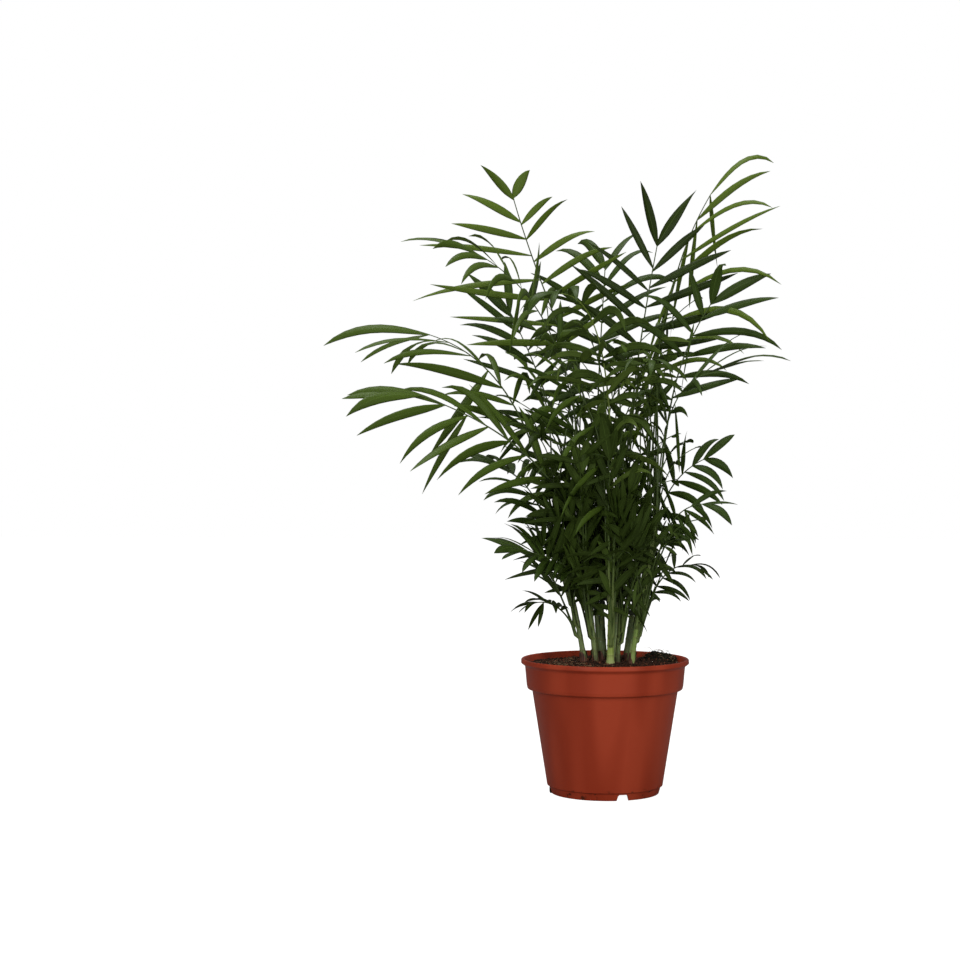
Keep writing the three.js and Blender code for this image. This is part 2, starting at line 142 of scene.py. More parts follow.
# The dry sheaths: rings of points, two layers to a cane.
HUSK_LAYERS = 2
HUSK_ROWS = 6
HUSK_SIDES = 18
HUSK_THICK = 0.18

# The ribs, which start as sheaths round their canes.
RIB_FOOT = 1.4
RIB_TIP = 0.5
RIB_LEAVE = 0.12  # how far a rib leans out where it leaves its cane
RIB_RISE = 0.4  # how stiffly it holds its way at the foot
RIB_REACH = 0.36  # and at the tip
RIB_STEPS = 60
SHEATH_STEPS = 6
SHEATH_FADE = 26  # how far up the rib its foot is swollen

# How leaflets grow. A pair is for the lowest leaflets of a rib and those at its end.
LEAFLET_SPREAD = (68, 24)  # degrees off the rib
LEAFLET_RISE = 12  # degrees out of the blade
LEAFLET_STEPS = 9
LAST_PAIR = 0.992
SNAP = 1.3  # how much further down a snapped leaflet starts
LEAFLET_ROLL = 0.5  # the most that one is rolled at its foot
LEAFLET_TWIST = 1.1  # and the most that it twists toward its tip
# The width along a leaflet, as (share of its length, share of its width).
TAPER = (
    (0, 0.16), (0.08, 0.44), (0.26, 0.88), (0.43, 1.0),
    (0.63, 0.9), (0.82, 0.6), (0.93, 0.3), (1, 0.03),
)

# What a frond has unless its entry says otherwise. Of a pair of numbers the first is for
# its left-hand leaflets, seen from its foot, and the second for its right-hand ones.
PLAIN = dict(
    fork=1,  # where its foot is, as a share of the cane's height
    flush=False,  # whether its foot lies close to the cane
    side=None,  # the way across its blade in degrees from +X, or else square to its lean
    roll=0,  # the degrees that its blade is turned about the rib
    close=(1, 1),  # what its leaflets' angle off the rib is multiplied by
    skew=(0, 0),  # the degrees that are added to that angle
    hang=(0, 0),  # how much further down its leaflets start
    size=(1, 1),  # what its leaflets' length is multiplied by
    slim=1,  # what its leaflets' width is multiplied by
    wide=1.45,  # what the end leaflets' width is multiplied by
    broken=0.12,  # the share of its leaflets that are snapped
)

# The fronds that stand out. Each gives its cane, the place of its tip, its pitch there in
# degrees above level, the share of its rib that is bare, its pairs of leaflets, the
# longest of them, the end pair's share of that, how far they droop, and their green.
FRONDS = (
    dict(name="tall_left", cane=3, tip=(-95, 40, 608), pitch=74, side=0, skew=(2, 14), slim=0.88,
         bare=0.62, pairs=8, leaf=122, end=0.34, droop=(0.1, 0.25), size=(1.1, 0.78), green="fresh_and_lit"),
    dict(name="arching_left", cane=1, tip=(-130, -50, 543), pitch=24, side=76, roll=4, green="ripe_and_lit",
         bare=0.52, pairs=12, leaf=98, end=0.75, droop=(0.8, 0.7), hang=(0.1, 0.2)),
    dict(name="behind_left", cane=6, tip=(-99, 60, 490), pitch=60, side=10, slim=1.02, green="mid",
         bare=0.32, pairs=10, leaf=94, end=0.7, droop=0.2, hang=(0, 0.3), close=(0.75, 1)),
    dict(name="front_left", cane=7, tip=(-45, -115, 496), pitch=-5, slim=1.15, green="mid",
         bare=0.5, pairs=9, leaf=82, end=0.6, droop=1.1),
    dict(name="far_left", cane=9, tip=(-180, -20, 464), pitch=16, side=40, skew=(-6, 6), slim=1.12,
         bare=0.5, pairs=7, leaf=118, end=0.95, droop=(0.4, 0.9), hang=(0.05, 0.55),
         close=(0.75, 0.45), size=(1, 0.72), green="ripe_and_lit"),
    dict(name="low_left", cane=4, tip=(-180, -90, 400), pitch=18, side=40, skew=(-6, 6), slim=1.12,
         bare=0.4, pairs=7, leaf=106, end=0.9, droop=0.3, hang=(0.2, 0.45), close=(0.75, 0.4),
         green="ripe_and_lit"),
    dict(name="centre", cane=0, tip=(53, 25, 556), pitch=78, side=0, slim=1.12, green="deep",
         bare=0.6, pairs=7, leaf=96, end=0.66, droop=0.2),
    dict(name="behind_centre", cane=11, tip=(0, 100, 542), pitch=55, side=-10, slim=1.15, green="mid",
         bare=0.46, pairs=9, leaf=94, end=0.7, droop=0.5),
    dict(name="tall_right", cane=8, tip=(109, 60, 612), pitch=58, side=-35, skew=(0, -8), slim=0.85,
         bare=0.52, pairs=9, leaf=128, end=0.6, droop=(0.5, 0.7), wide=1, hang=(2.4, 0),
         size=(1, 1.12), green="fresh_and_lit"),
    dict(name="right", cane=5, tip=(109, -10, 498), pitch=55, side=0, slim=1.12, green="mid",
         bare=0.64, pairs=6, leaf=98, end=0.62, droop=(0.4, 0.35), hang=(0.1, 0), size=(0.75, 1)),
    dict(name="far_right", cane=10, tip=(103, -70, 423), pitch=12, side=-75, green="mid",
         bare=0.52, pairs=9, leaf=86, end=0.95, droop=0.4),
    dict(name="front_right", cane=2, tip=(46, -112, 432), pitch=-5, green="mid",
         bare=0.68, pairs=5, leaf=60, end=0.6, droop=0.8),
    dict(name="lower_left_1", cane=9, fork=0.6, tip=(-103, 45, 328), pitch=26, side=40, slim=1.1,
         bare=0.42, pairs=9, leaf=64, end=0.85, droop=(0.5, 1.0), green="mid"),
    dict(name="lower_left_2", cane=4, fork=0.75, tip=(-80, -35, 246), pitch=12, side=50, slim=1.35,
         bare=0.38, pairs=10, leaf=50, end=0.85, droop=0.35, green="mid"),
    dict(name="lowest_left", cane=9, fork=0.3, flush=True, tip=(-71, -25, 193), pitch=-15,
         bare=0.5, pairs=7, leaf=36, end=0.8, droop=0.6, green="deep"),
    dict(name="lower_right_1", cane=8, fork=0.7, tip=(101, 10, 338), pitch=25, side=-25, slim=1.15,
         bare=0.4, pairs=9, leaf=66, end=0.6, droop=(0.4, 0.9), hang=(0, 0.4), close=(0.8, 0.7),
         green="mid"),
    dict(name="lower_right_2", cane=5, fork=0.8, tip=(97, -25, 293), pitch=5, side=-30, green="mid",
         bare=0.5, pairs=7, leaf=42, end=0.9, droop=(0.5, 0.7), hang=(0.2, 0.2), close=(0.75, 0.75)),
    dict(name="lower_right_3", cane=10, fork=0.65, tip=(68, -55, 258), pitch=5, green="deep",
         bare=0.38, pairs=7, leaf=36, end=0.45, droop=0.3),
    dict(name="lowest_right", cane=5, fork=0.4, flush=True, tip=(87, 12, 230), pitch=-5, side=-20,
         bare=0.46, pairs=7, leaf=44, end=0.8, droop=0.8, slim=0.95, green="deep"),
)

# The fronds between them, in tiers from the top down, one to a cane, each turned from its
# cane's own side of the clump. bared is how much more of the rib is bare on the right of
# the clump, long is what the leaflets' length is multiplied by on its left and its right,
# and sag is how far they hang on the right, or else 0 for a random hang. A twin grows from
# the same sheath and differs by what twin says. limp is how much more it droops on the right.
TIER = dict(bared=0, sag=0, limp=0, slim=0.95, greens=("deep", "deep", "mid"))
TIERS = (
    dict(name="upper", count=12, fork=0.92, turn=-38, reach=78, height=470, pitch=30, bare=0.4,
         bared=0.34, pairs=5, leaf=60, long=(1.3, 0.55), droop=0.45, greens=("mid", "deep", "ripe_and_lit"),
         twin=dict(turn=-102, height=414, reach=70, long=(1.3, 0.4))),
    dict(name="middle", count=12, fork=0.7, turn=42, reach=84, height=370, pitch=15, bare=0.26,
         bared=0.42, pairs=5, leaf=54, long=(1.15, 0.5), droop=0.4, sag=0.3,
         twin=dict(turn=108, height=312, reach=78, bared=0.26, long=(1.15, 0.6), sag=0, limp=1)),
    dict(name="inner", count=3, fork=0.45, turn=0, reach=70, height=290, pitch=0, bare=0.26,
         bared=0.2, pairs=7, leaf=56, long=(1.3, 0.4), droop=0.4,
         twin=dict(turn=-75, height=235, reach=60, long=(1.3, 0.5), limp=2)),
    dict(name="shoot", count=12, fork=0.3, turn=15, reach=30, height=262, pitch=70, bare=0.42,
         pairs=5, leaf=62, long=(1.3, 0.5), droop=0.2, close=(0.4, 0.4), broken=0,
         twin=dict(turn=135, height=244, limp=3)),
)
TIER_NAMES = tuple(tier["name"] for tier in TIERS)
TIER_SEED = 574
TIER_VARY = dict(turn=12, reach=16, height=36, pitch=12)  # how far a frond may be off its tier
TIER_END = (0.55, 0.3)  # the end pair's share, on the left and on the right of the clump
TIER_SKEW = 24
TIER_ROLL = 50
NARROW = 0.72  # how much less far the tiers reach along X
# The degrees by which single fronds are turned aside, out of the way of others.
ASIDE = dict(upper_6=-32, upper_12=-8, middle_1=-16, middle_3=-16, middle_4=-24, middle_8=-24)

# Broad young fronds that stand up in front of the clump and close it.
YOUNG = dict(
    fork=0.4, bare=0.26, pairs=6, leaf=58, end=0.7, droop=0.25, slim=1.3, close=(0.5, 0.5), broken=0
)
SHOOTS = (
    dict(name="shoot_13", cane=7, tip=(4, -64, 338), pitch=66, roll=20, green="deep"),
    dict(name="shoot_14", cane=7, tip=(24, -60, 306), pitch=58, roll=-35, green="mid"),
    dict(name="shoot_15", cane=2, tip=(8, -54, 350), pitch=70, roll=-10, green="deep"),
    dict(name="shoot_16", cane=10, tip=(28, -46, 312), pitch=62, roll=30, green="deep"),
    dict(name="shoot_17", cane=4, tip=(-22, -58, 326), pitch=64, roll=-30, green="mid"),
    dict(name="shoot_18", cane=4, tip=(-40, -46, 296), pitch=52, roll=15, green="deep"),
    dict(name="shoot_19", cane=2, tip=(8, -60, 286), pitch=60, roll=40, bare=0.5, green="deep"),
    dict(name="shoot_20", cane=10, tip=(26, -54, 270), pitch=62, roll=-20, bare=0.5, leaf=50, green="deep"),
    dict(name="shoot_21", cane=9, tip=(-46, -34, 270), pitch=58, roll=25, bare=0.5, green="mid"),
)

# The greens, as sRGB: upper face, and the paler underside that catches the light from behind.
# The lighter greens are partly the leaves' age and partly painted light, for the lit top of the plant. The
# darker greens, deep most of all, are painted shade for the inside of the clump. Together they are lit and
# shaded copies of one leaf.
GREENS = {
    "fresh_and_lit": ("#53671F", "#5E702B"),
    "ripe_and_lit": ("#42551A", "#4E5F25"),
    "mid": ("#314216", "#3F501D"),
    "deep": ("#222E0B", "#2E3C12"),
}
VEINS = 11  # to the map's width of one face, which makes five to each side of the midrib

# The stage, in metres, watts and degrees.
FLOOR_REACH = 6
SOFTBOXES = (
    ("left softbox", (-0.85, -1.9, 0.9), (0.3, 1.6), 16),
    ("right softbox", (1.1, -1.75, 0.9), (0.35, 1.6), 16),
    ("top softbox", (-0.3, 0.1, 2.2), (1.2, 1.2), 30),
)
LIT_PLACE = (0, 0, 0.35)
LENS = 73.9
CAMERA_HEIGHT = 0.342
CAMERA_DIP = 0.73
CAMERA_SWING = 3.63


# ------------------------------------------------------------------ the growth rule


def scatter(a, b):
    """A number from -1 to 1 that looks random and depends only on its two keys."""
    s = math.sin(a * 127.1 + b * 311.7 + 74.7) * 43758.5453
    return 2 * (s - math.floor(s)) - 1


def mix(a, b, share):
    return a + (b - a) * share


def unit(v):
    return v / np.linalg.norm(v)


class Bezier:
    """A Bezier curve that can be read by its parameter or by its share of length."""

    def __init__(self, *points):
        self.points = [np.array(p, float) for p in points]
        self.ts = np.linspace(0, 1, 201)
        line = np.array([self.point(t) for t in self.ts])
        steps = np.linalg.norm(np.diff(line, axis=0), axis=1)
        self.run = np.concatenate(([0], np.cumsum(steps)))
        self.length = self.run[-1]

    def point(self, t):
        row = self.points
        while len(row) > 1:
            row = [mix(a, b, t) for a, b in zip(row, row[1:])]
        return row[0]

    def tangent(self, t):
        row = [b - a for a, b in zip(self.points, self.points[1:])]
        while len(row) > 1:
            row = [mix(a, b, t) for a, b in zip(row, row[1:])]
        return unit(row[0])

    def at(self, share):
        return float(np.interp(share * self.length, self.run, self.ts))


def cane_line(i):
    """The line that cane i grows along, from its foot on the soil."""
    r = SPACING * math.sqrt(i + SPIRAL_START)
    a = i * GOLDEN_ANGLE + SPIRAL_TURN
    out = np.array((r * math.cos(a) * WIDEN, r * math.sin(a), 0.0))
    foot = out + (CLUMP_X, 0, SOIL_LEVEL + GAP)
    top = foot + out * LEAN
    top[2] = SOIL_LEVEL + CANE_HEIGHT + CANE_VARY * scatter(i, 1)
    return Bezier(foot, mix(foot, top, 0.5) - CANE_BOW * out, top)


CANE_LINES = [cane_line(i) for i in range(CANES)]


def cane_radius(share):
    flare = mix(CANE_FLARE, 1, min(1, share * 8))
    return mix(CANE_FOOT, CANE_TOP, share) * flare


class Frond:
    """One frond: its rib's line, and the blade that its leaflets spread from it."""

    def __init__(self, spec, key, elder=None):
        self.__dict__.update(PLAIN | spec)
        self.droop = np.broadcast_to(self.droop, 2)
        self.key = key
        self.cane_line = CANE_LINES[self.cane]
        self.line = self.rib_line(elder)

    def rib_line(self, elder):
        tip = np.array(self.tip, float)
        fork = self.cane_line.point(self.fork)
        grow = self.cane_line.tangent(self.fork)
        away = unit((tip - fork) * (1, 1, 0))
        if elder:
            fork = elder.line.points[0]
        elif self.fork < 1:
            beside = unit(away - grow * away.dot(grow))
            half = RIB_FOOT * (0.4 if self.flush else 1)
            fork = fork + beside * (cane_radius(self.fork) + half + GAP)
        else:
            fork = fork + grow * GAP
        reach = np.linalg.norm(tip - fork)
        leave = unit(grow + away * (RIB_LEAVE if self.fork < 1 else 0))
        pitch = math.radians(self.pitch)
        arrive = away * math.cos(pitch) + UP * math.sin(pitch)
        return Bezier(fork, fork + leave * reach * RIB_RISE, tip - arrive * reach * RIB_REACH, tip)

    def blade_at(self, share):
        """The rib's place, and the ways along it, across the blade and out of its face."""
        t = self.line.at(share)
        along = self.line.tangent(t)
        lean = self.line.points[3] - self.line.points[0]
        angle = math.atan2(lean[1], lean[0]) - math.pi / 2
        if self.side is not None:
            angle = math.radians(self.side)
        across = np.array((math.cos(angle), math.sin(angle), 0.0))
        across = unit(across - along * across.dot(along))
        face = np.cross(across, along)
        roll = math.radians(self.roll)
        across, face = (
            across * math.cos(roll) + face * math.sin(roll),
            face * math.cos(roll) - across * math.sin(roll),
        )
        return self.line.point(t), along, across, face


def tier_frond(tier, t, i, twin):
    """One of a tier's fronds or its twin, written out like those that stand out."""
    grown = TIER | tier | (tier["twin"] if twin else {})
    key = TIER_SEED + t * 40 + i + (20 if twin else 0)
    cane = round(i * CANES / grown["count"]) + (2 if grown["count"] < CANES else 0)
    top = CANE_LINES[cane].points[2]
    name = f"{grown['name']}_{i + 1}"
    turn, far, height, pitch = (
        grown[what] + most * scatter(key, n) for n, (what, most) in enumerate(TIER_VARY.items(), 1)
    )
    angle = math.atan2(top[1], top[0]) + math.radians(turn + ASIDE.get(name, 0))
    tip = (top[0] + far * math.cos(angle) * NARROW, top[1] + far * math.sin(angle), height)
    right = min(1, max(0, (tip[0] + 15) / 50))  # how far on the right of the clump it is
    hang = [max(0, scatter(key, n)) for n in (12, 13)]
    if grown["sag"]:
        hang = [grown["sag"] * right] * 2
    return grown | dict(
        name=name,
        cane=cane,
        tip=tip,
        pitch=pitch,
        bare=grown["bare"] + grown["bared"] * right,
        pairs=grown["pairs"] - round(2 * right),
        leaf=grown["leaf"] * mix(*grown["long"], right),
        end=mix(*TIER_END, right),
        droop=grown["droop"] * (1 + 0.8 * scatter(key, 11)) * (1 + right * grown["limp"]),
        roll=TIER_ROLL * scatter(key, 8),
        skew=[TIER_SKEW * scatter(key, n) for n in (9, 10)],
        hang=hang,
        green=grown["greens"][int(1.5 + 1.49 * scatter(key, 7))],
    )


def all_fronds():
    """Every node's fronds by its name: one, or a pair of twins."""
    nodes = {}
    keys = itertools.count(1)
    for spec in FRONDS:
        nodes[spec["name"]] = [Frond(spec, next(keys))]
    for t, tier in enumerate(TIERS):
        for i in range(tier["count"]):
            first = Frond(tier_frond(tier, t, i, False), next(keys))
            twin = Frond(tier_frond(tier, t, i, True), next(keys), first)
            nodes[first.name] = [first, twin]
    for spec in SHOOTS:
        nodes[spec["name"]] = [Frond(YOUNG | spec, next(keys))]
    return nodes


# ------------------------------------------------------------------ nodes and materials


def linear(hexa):
    """An sRGB hex colour as the linear colour that shaders take."""
    parts = [int(hexa[i : i + 2], 16) / 255 for i in (1, 3, 5)]
    return tuple(c / 12.92 if c <= 0.04045 else ((c + 0.055) / 1.055) ** 2.4 for c in parts) + (1.0,)


def add(tree, kind, *sockets, **settings):
    """Adds one node with its settings, and feeds its sockets."""
    node = tree.nodes.new(kind)
    for name, value in settings.items():
        setattr(node, name, value)
    feed(node, *sockets)
    return node


def feed(node, *sockets):
    """Gives sockets their values or sources, by name in one dict or else in their order. A
    node stands for the first output that it has in use, and "#RRGGBB" for an sRGB colour."""
    named = sockets and isinstance(sockets[0], dict)
    for place, value in sockets[0].items() if named else enumerate(sockets):
        free = [s for s in node.inputs if s.enabled]
        socket = next(s for s in free if s.name == place) if named else free[place]
        if isinstance(value, bpy.types.Node):
            value = next(s for s in value.outputs if s.enabled)
        if isinstance(value, bpy.types.NodeSocket):
            node.id_data.links.new(value, socket)
        else:
            socket.default_value = linear(value) if str(value).startswith("#") else value


def new_material(name):
    """A material, its tree and its Principled shader."""
    material = bpy.data.materials.new(name)
    material.use_nodes = True
    return material, material.node_tree, material.node_tree.nodes["Principled BSDF"]


def finish_material(shader, base, layers, height, bump, rough, specular=0.5):
    """What each material ends with: a base colour with others laid over it by their shares,
    its gloss, and a bump of some strength and depth."""
    tree = shader.id_data
    for share, colour in layers:
        base = add(tree, "ShaderNodeMix", share, base, colour, data_type="RGBA")
    strength, depth = bump
    raised = add(tree, "ShaderNodeBump", {"Strength": strength, "Distance": depth, "Height": height})
    feed(shader, {"Base Color": base, "Roughness": rough})
    feed(shader, {"Specular IOR Level": specular, "Normal": raised})


def off_middle(tree, value, beats):
    """How far a value is from the middle of the beat that it lies in."""
    counted = add(tree, "ShaderNodeMath", value, beats, operation="MULTIPLY")
    beat = add(tree, "ShaderNodeMath", counted, operation="FRACT")
    aside = add(tree, "ShaderNodeMath", beat, 0.5, operation="SUBTRACT")
    return add(tree, "ShaderNodeMath", aside, operation="ABSOLUTE")


def fibres(tree, place, scale, detail):
    """Noise drawn out into fibres."""
    stretch = add(tree, "ShaderNodeMapping", {"Vector": place, "Scale": scale})
    return add(tree, "ShaderNodeTexNoise", stretch, 1.0, detail)


def mottle(tree, noise, *stops):
    """Noise as two colours, with one stop of the ramp for each (place, colour)."""
    ramp = add(tree, "ShaderNodeValToRGB", noise)
    for stop, (place, colour) in zip(ramp.color_ramp.elements, stops):
        stop.position = place
        stop.color = linear(colour)
    return ramp


def leaf_material(name, upper, under):
    """Thin leathery palm leaf: satin cutin over fine parallel veins, paler below."""
    material, tree, shader = new_material(name)
    uv = add(tree, "ShaderNodeUVMap", uv_map=UV_NAME)
    around = add(tree, "ShaderNodeSeparateXYZ", uv).outputs["Y"]
    off_rib = off_middle(tree, around, 2.0)
    below = add(tree, "ShaderNodeMath", around, 0.5, operation="GREATER_THAN")
    waves = add(tree, "ShaderNodeMath", off_rib, 2 * math.pi * VEINS, operation="MULTIPLY")
    veins = add(tree, "ShaderNodeMath", waves, operation="SINE")
    midrib = add(
        tree, "ShaderNodeMapRange", off_rib, 0.0, 0.045, 1.0, 0.0, interpolation_type="SMOOTHSTEP"
    )
    crest = add(tree, "ShaderNodeMath", midrib, 0.2, operation="MULTIPLY")
    lines = add(tree, "ShaderNodeMath", veins, 0.06, 0.06, operation="MULTIPLY_ADD")
    height = add(tree, "ShaderNodeMath", midrib, 1.5, veins, operation="MULTIPLY_ADD")
    rough = add(tree, "ShaderNodeMath", below, 0.18, 0.36, operation="MULTIPLY_ADD")
    layers = ((below, under), (lines, "#5E7A34"), (crest, "#6E8A40"))
    finish_material(shader, upper, layers, height, (0.25, 0.0002), rough, 0.1)
    return material


def rib_material(name, foot, tip):
    """Smooth petiole skin: pale and fibrous where the sheath wraps the cane, green above."""
    material, tree, shader = new_material(name)
    uv = add(tree, "ShaderNodeUVMap", uv_map=UV_NAME)
    along = add(tree, "ShaderNodeSeparateXYZ", uv)
    rise = add(
        tree, "ShaderNodeMapRange", along, 0.0, 0.3, 0.0, 1.0, interpolation_type="SMOOTHSTEP"
    )
    fibre = fibres(tree, uv, (6.0, 22.0, 1.0), 2.0)
    streak = add(tree, "ShaderNodeMapRange", fibre, 0.4, 0.6, 0.1, 0.6)
    layers = ((rise, tip), (streak, "#1F2C12"))
    finish_material(shader, foot, layers, fibre, (0.3, 0.0003), 0.42, 0.3)
    return material


def cane_material(name, dark, light, foot):
    """Cane in its clasping sheaths: streaked lengthwise, ringed with pale leaf scars, and
    another colour at its foot."""
    material, tree, shader = new_material(name)
    uv = add(tree, "ShaderNodeUVMap", uv_map=UV_NAME)
    along = add(tree, "ShaderNodeSeparateXYZ", uv)
    scar = add(
        tree, "ShaderNodeMapRange", off_middle(tree, along, CANE_JOINTS), 0.43, 0.48, 0.0, 0.5
    )
    age = add(tree, "ShaderNodeMapRange", along, 0.0, 0.2, 0.8, 0.0)
    fibre = fibres(tree, uv, (2.2, 26.0, 1.0), 3.0)
    streak = add(tree, "ShaderNodeMapRange", fibre, 0.38, 0.64, 0.0, 1.0)
    layers = ((streak, light), (age, foot), (scar, "#7C7248"))
    finish_material(shader, dark, layers, fibre, (0.4, 0.0004), 0.5, 0.3)
    return material


def husk_material():
    """Dry papery leaf sheath: thin lengthwise fibres, dark to reddish brown."""
    material, tree, shader = new_material("dry papery leaf sheath")
    place = add(tree, "ShaderNodeTexCoord").outputs["Object"]
    fibre = fibres(tree, place, (900.0, 900.0, 60.0), 3.0)
    tone = mottle(tree, fibre, (0.35, "#331B13"), (0.68, "#7A4E38"))
    finish_material(shader, tone, (), fibre, (0.5, 0.0004), 0.75)
    return material


def pot_material():
    """Injection-moulded polypropylene, terracotta coloured: satin, with faint flow marks
    that run up the wall, and a little peat at its foot."""
    material, tree, shader = new_material("moulded terracotta polypropylene")
    place = add(tree, "ShaderNodeTexCoord").outputs["Object"]
    height = add(tree, "ShaderNodeSeparateXYZ", place).outputs["Z"]
    flow = fibres(tree, place, (45.0, 45.0, 5.0), 0.0)
    grain = add(tree, "ShaderNodeTexNoise", place, 900.0, 2.0)
    dust = add(tree, "ShaderNodeTexNoise", place, 160.0, 5.0)
    foot = add(tree, "ShaderNodeMapRange", height, 0.007, 0.012, 0.85, 0.0)
    clots = add(tree, "ShaderNodeMapRange", dust, 0.58, 0.66, 0.0, 1.0)
    spots = add(tree, "ShaderNodeMath", clots, foot, operation="MULTIPLY")
    bands = add(tree, "ShaderNodeMapRange", flow, 0.35, 0.65, 0.0, 1.0)
    rough = add(tree, "ShaderNodeMapRange", flow, 0.3, 0.7, 0.38, 0.48)
    relief = add(tree, "ShaderNodeMath", flow, 0.6, grain, operation="MULTIPLY_ADD")
    layers = ((bands, "#A94127"), (spots, "#3E1D0E"))
    finish_material(shader, "#98361E", layers, relief, (0.12, 0.0003), rough, 0.15)
    return material


def earth_material(name, dark, light, scale):
    """Crumbly matter: mottled between two colours at the size of its grains."""
    material, tree, shader = new_material(name)
    place = add(tree, "ShaderNodeTexCoord").outputs["Object"]
    grain = add(tree, "ShaderNodeTexNoise", place, scale, 6.0)
    tone = mottle(tree, grain, (0.38, dark), (0.66, light))
    finish_material(shader, tone, (), grain, (0.8, 0.0008), 0.95, 0.25)
    return material


# ------------------------------------------------------------------ Geometry Nodes


def new_tree(name, *inputs):
    """A Geometry Nodes tree with its named inputs, and its input and output nodes."""
    tree = bpy.data.node_groups.new(name, "GeometryNodeTree")
    tree.interface.new_socket("Geometry", in_out="INPUT", socket_type="NodeSocketGeometry")
    tree.interface.new_socket("Geometry", in_out="OUTPUT", socket_type="NodeSocketGeometry")
    tree.interface.new_socket("Material", in_out="INPUT", socket_type="NodeSocketMaterial")
    for label, kind, value in inputs:
        socket = tree.interface.new_socket(label, in_out="INPUT", socket_type="NodeSocket" + kind)
        socket.default_value = value
    return tree, add(tree, "NodeGroupInput"), add(tree, "NodeGroupOutput")


def finish_tree(tree, start, end, geometry):
    """Every tree ends by making its instances real and giving them their material."""
    real = add(tree, "GeometryNodeRealizeInstances", geometry)
    material = start.outputs["Material"]
    feed(end, add(tree, "GeometryNodeSetMaterial", {"Geometry": real, "Material": material}))
    return tree


def sweep_tree(name, sides, taper=()):
    """Sweeps a closed section along every line of the input. The lines carry how wide the
    section is and which way its upper side faces. Flat presses the section thin, Fold
    raises its middle, and taper, where given, is the width along the line."""
    tree, start, end = new_tree(name, ("Flat", "Float", 1.0), ("Fold", "Float", 0.0))
    lines = add(tree, "GeometryNodeMeshToCurve", start)
    upper = add(tree, "GeometryNodeInputNamedAttribute", "face", data_type="FLOAT_VECTOR")
    width = add(tree, "GeometryNodeInputNamedAttribute", "half", data_type="FLOAT")
    share = add(tree, "GeometryNodeSplineParameter")
    if taper:
        shape = add(tree, "ShaderNodeFloatCurve", {"Value": share})
        curve = shape.mapping.curves[0]
        for x, y in taper[1:-1]:
            curve.points.new(x, y)
        for spot, place in zip(curve.points, taper):
            spot.location = place
        shape.mapping.update()
        width = add(tree, "ShaderNodeMath", width, shape, operation="MULTIPLY")
    turned = add(tree, "GeometryNodeSetCurveNormal", {"Curve": lines, "Normal": upper}, mode="FREE")
    marked = add(
        tree, "GeometryNodeStoreNamedAttribute", {"Geometry": turned, "Name": "along", "Value": share},
        data_type="FLOAT", domain="POINT",
    )

    # The section: a circle pressed flat, with its middle raised above its edges.
    ring = add(tree, "GeometryNodeCurvePrimitiveCircle", {"Resolution": sides, "Radius": 1.0})
    spot = add(tree, "GeometryNodeInputPosition")
    kept = add(
        tree, "GeometryNodeStoreNamedAttribute", {"Geometry": ring, "Name": "section", "Value": spot},
        data_type="FLOAT_VECTOR", domain="POINT",
    )
    split = add(tree, "ShaderNodeSeparateXYZ", spot)
    aside = add(tree, "ShaderNodeMath", split, operation="ABSOLUTE")
    inward = add(tree, "ShaderNodeMath", 1.0, aside, operation="SUBTRACT")
    lift = add(tree, "ShaderNodeMath", inward, start.outputs["Fold"], operation="MULTIPLY")
    pressed = add(
        tree, "ShaderNodeMath", split.outputs["Y"], start.outputs["Flat"], lift,
        operation="MULTIPLY_ADD",
    )
    flipped = add(tree, "ShaderNodeMath", split, -1.0, operation="MULTIPLY")
    folded = add(tree, "ShaderNodeCombineXYZ", pressed, flipped)
    section = add(tree, "GeometryNodeSetPosition", {"Geometry": kept, "Position": folded})
    swept = add(
        tree, "GeometryNodeCurveToMesh",
        {"Curve": marked, "Profile Curve": section, "Scale": width, "Fill Caps": True},
    )

    # The map: the upper side's faces fill its lower half, the underside's its upper half.
    was = add(tree, "GeometryNodeInputNamedAttribute", "section", data_type="FLOAT_VECTOR")
    old = add(tree, "ShaderNodeSeparateXYZ", was)
    mean = add(
        tree, "GeometryNodeFieldOnDomain", old.outputs["Y"], data_type="FLOAT", domain="FACE"
    )
    under = add(tree, "ShaderNodeMath", mean, 0.0, operation="LESS_THAN")
    across = add(tree, "ShaderNodeMath", old, 0.23, 0.25, operation="MULTIPLY_ADD")
    high = add(tree, "ShaderNodeMath", under, 0.5, across, operation="MULTIPLY_ADD")
    along = add(tree, "GeometryNodeInputNamedAttribute", "along", data_type="FLOAT")
    flat = add(tree, "ShaderNodeCombineXYZ", along, high)
    mapped = add(
        tree, "GeometryNodeStoreNamedAttribute", {"Geometry": swept, "Name": UV_NAME, "Value": flat},
        data_type="FLOAT2", domain="CORNER",
    )
    return finish_tree(tree, start, end, add(tree, "GeometryNodeSetShadeSmooth", mapped))


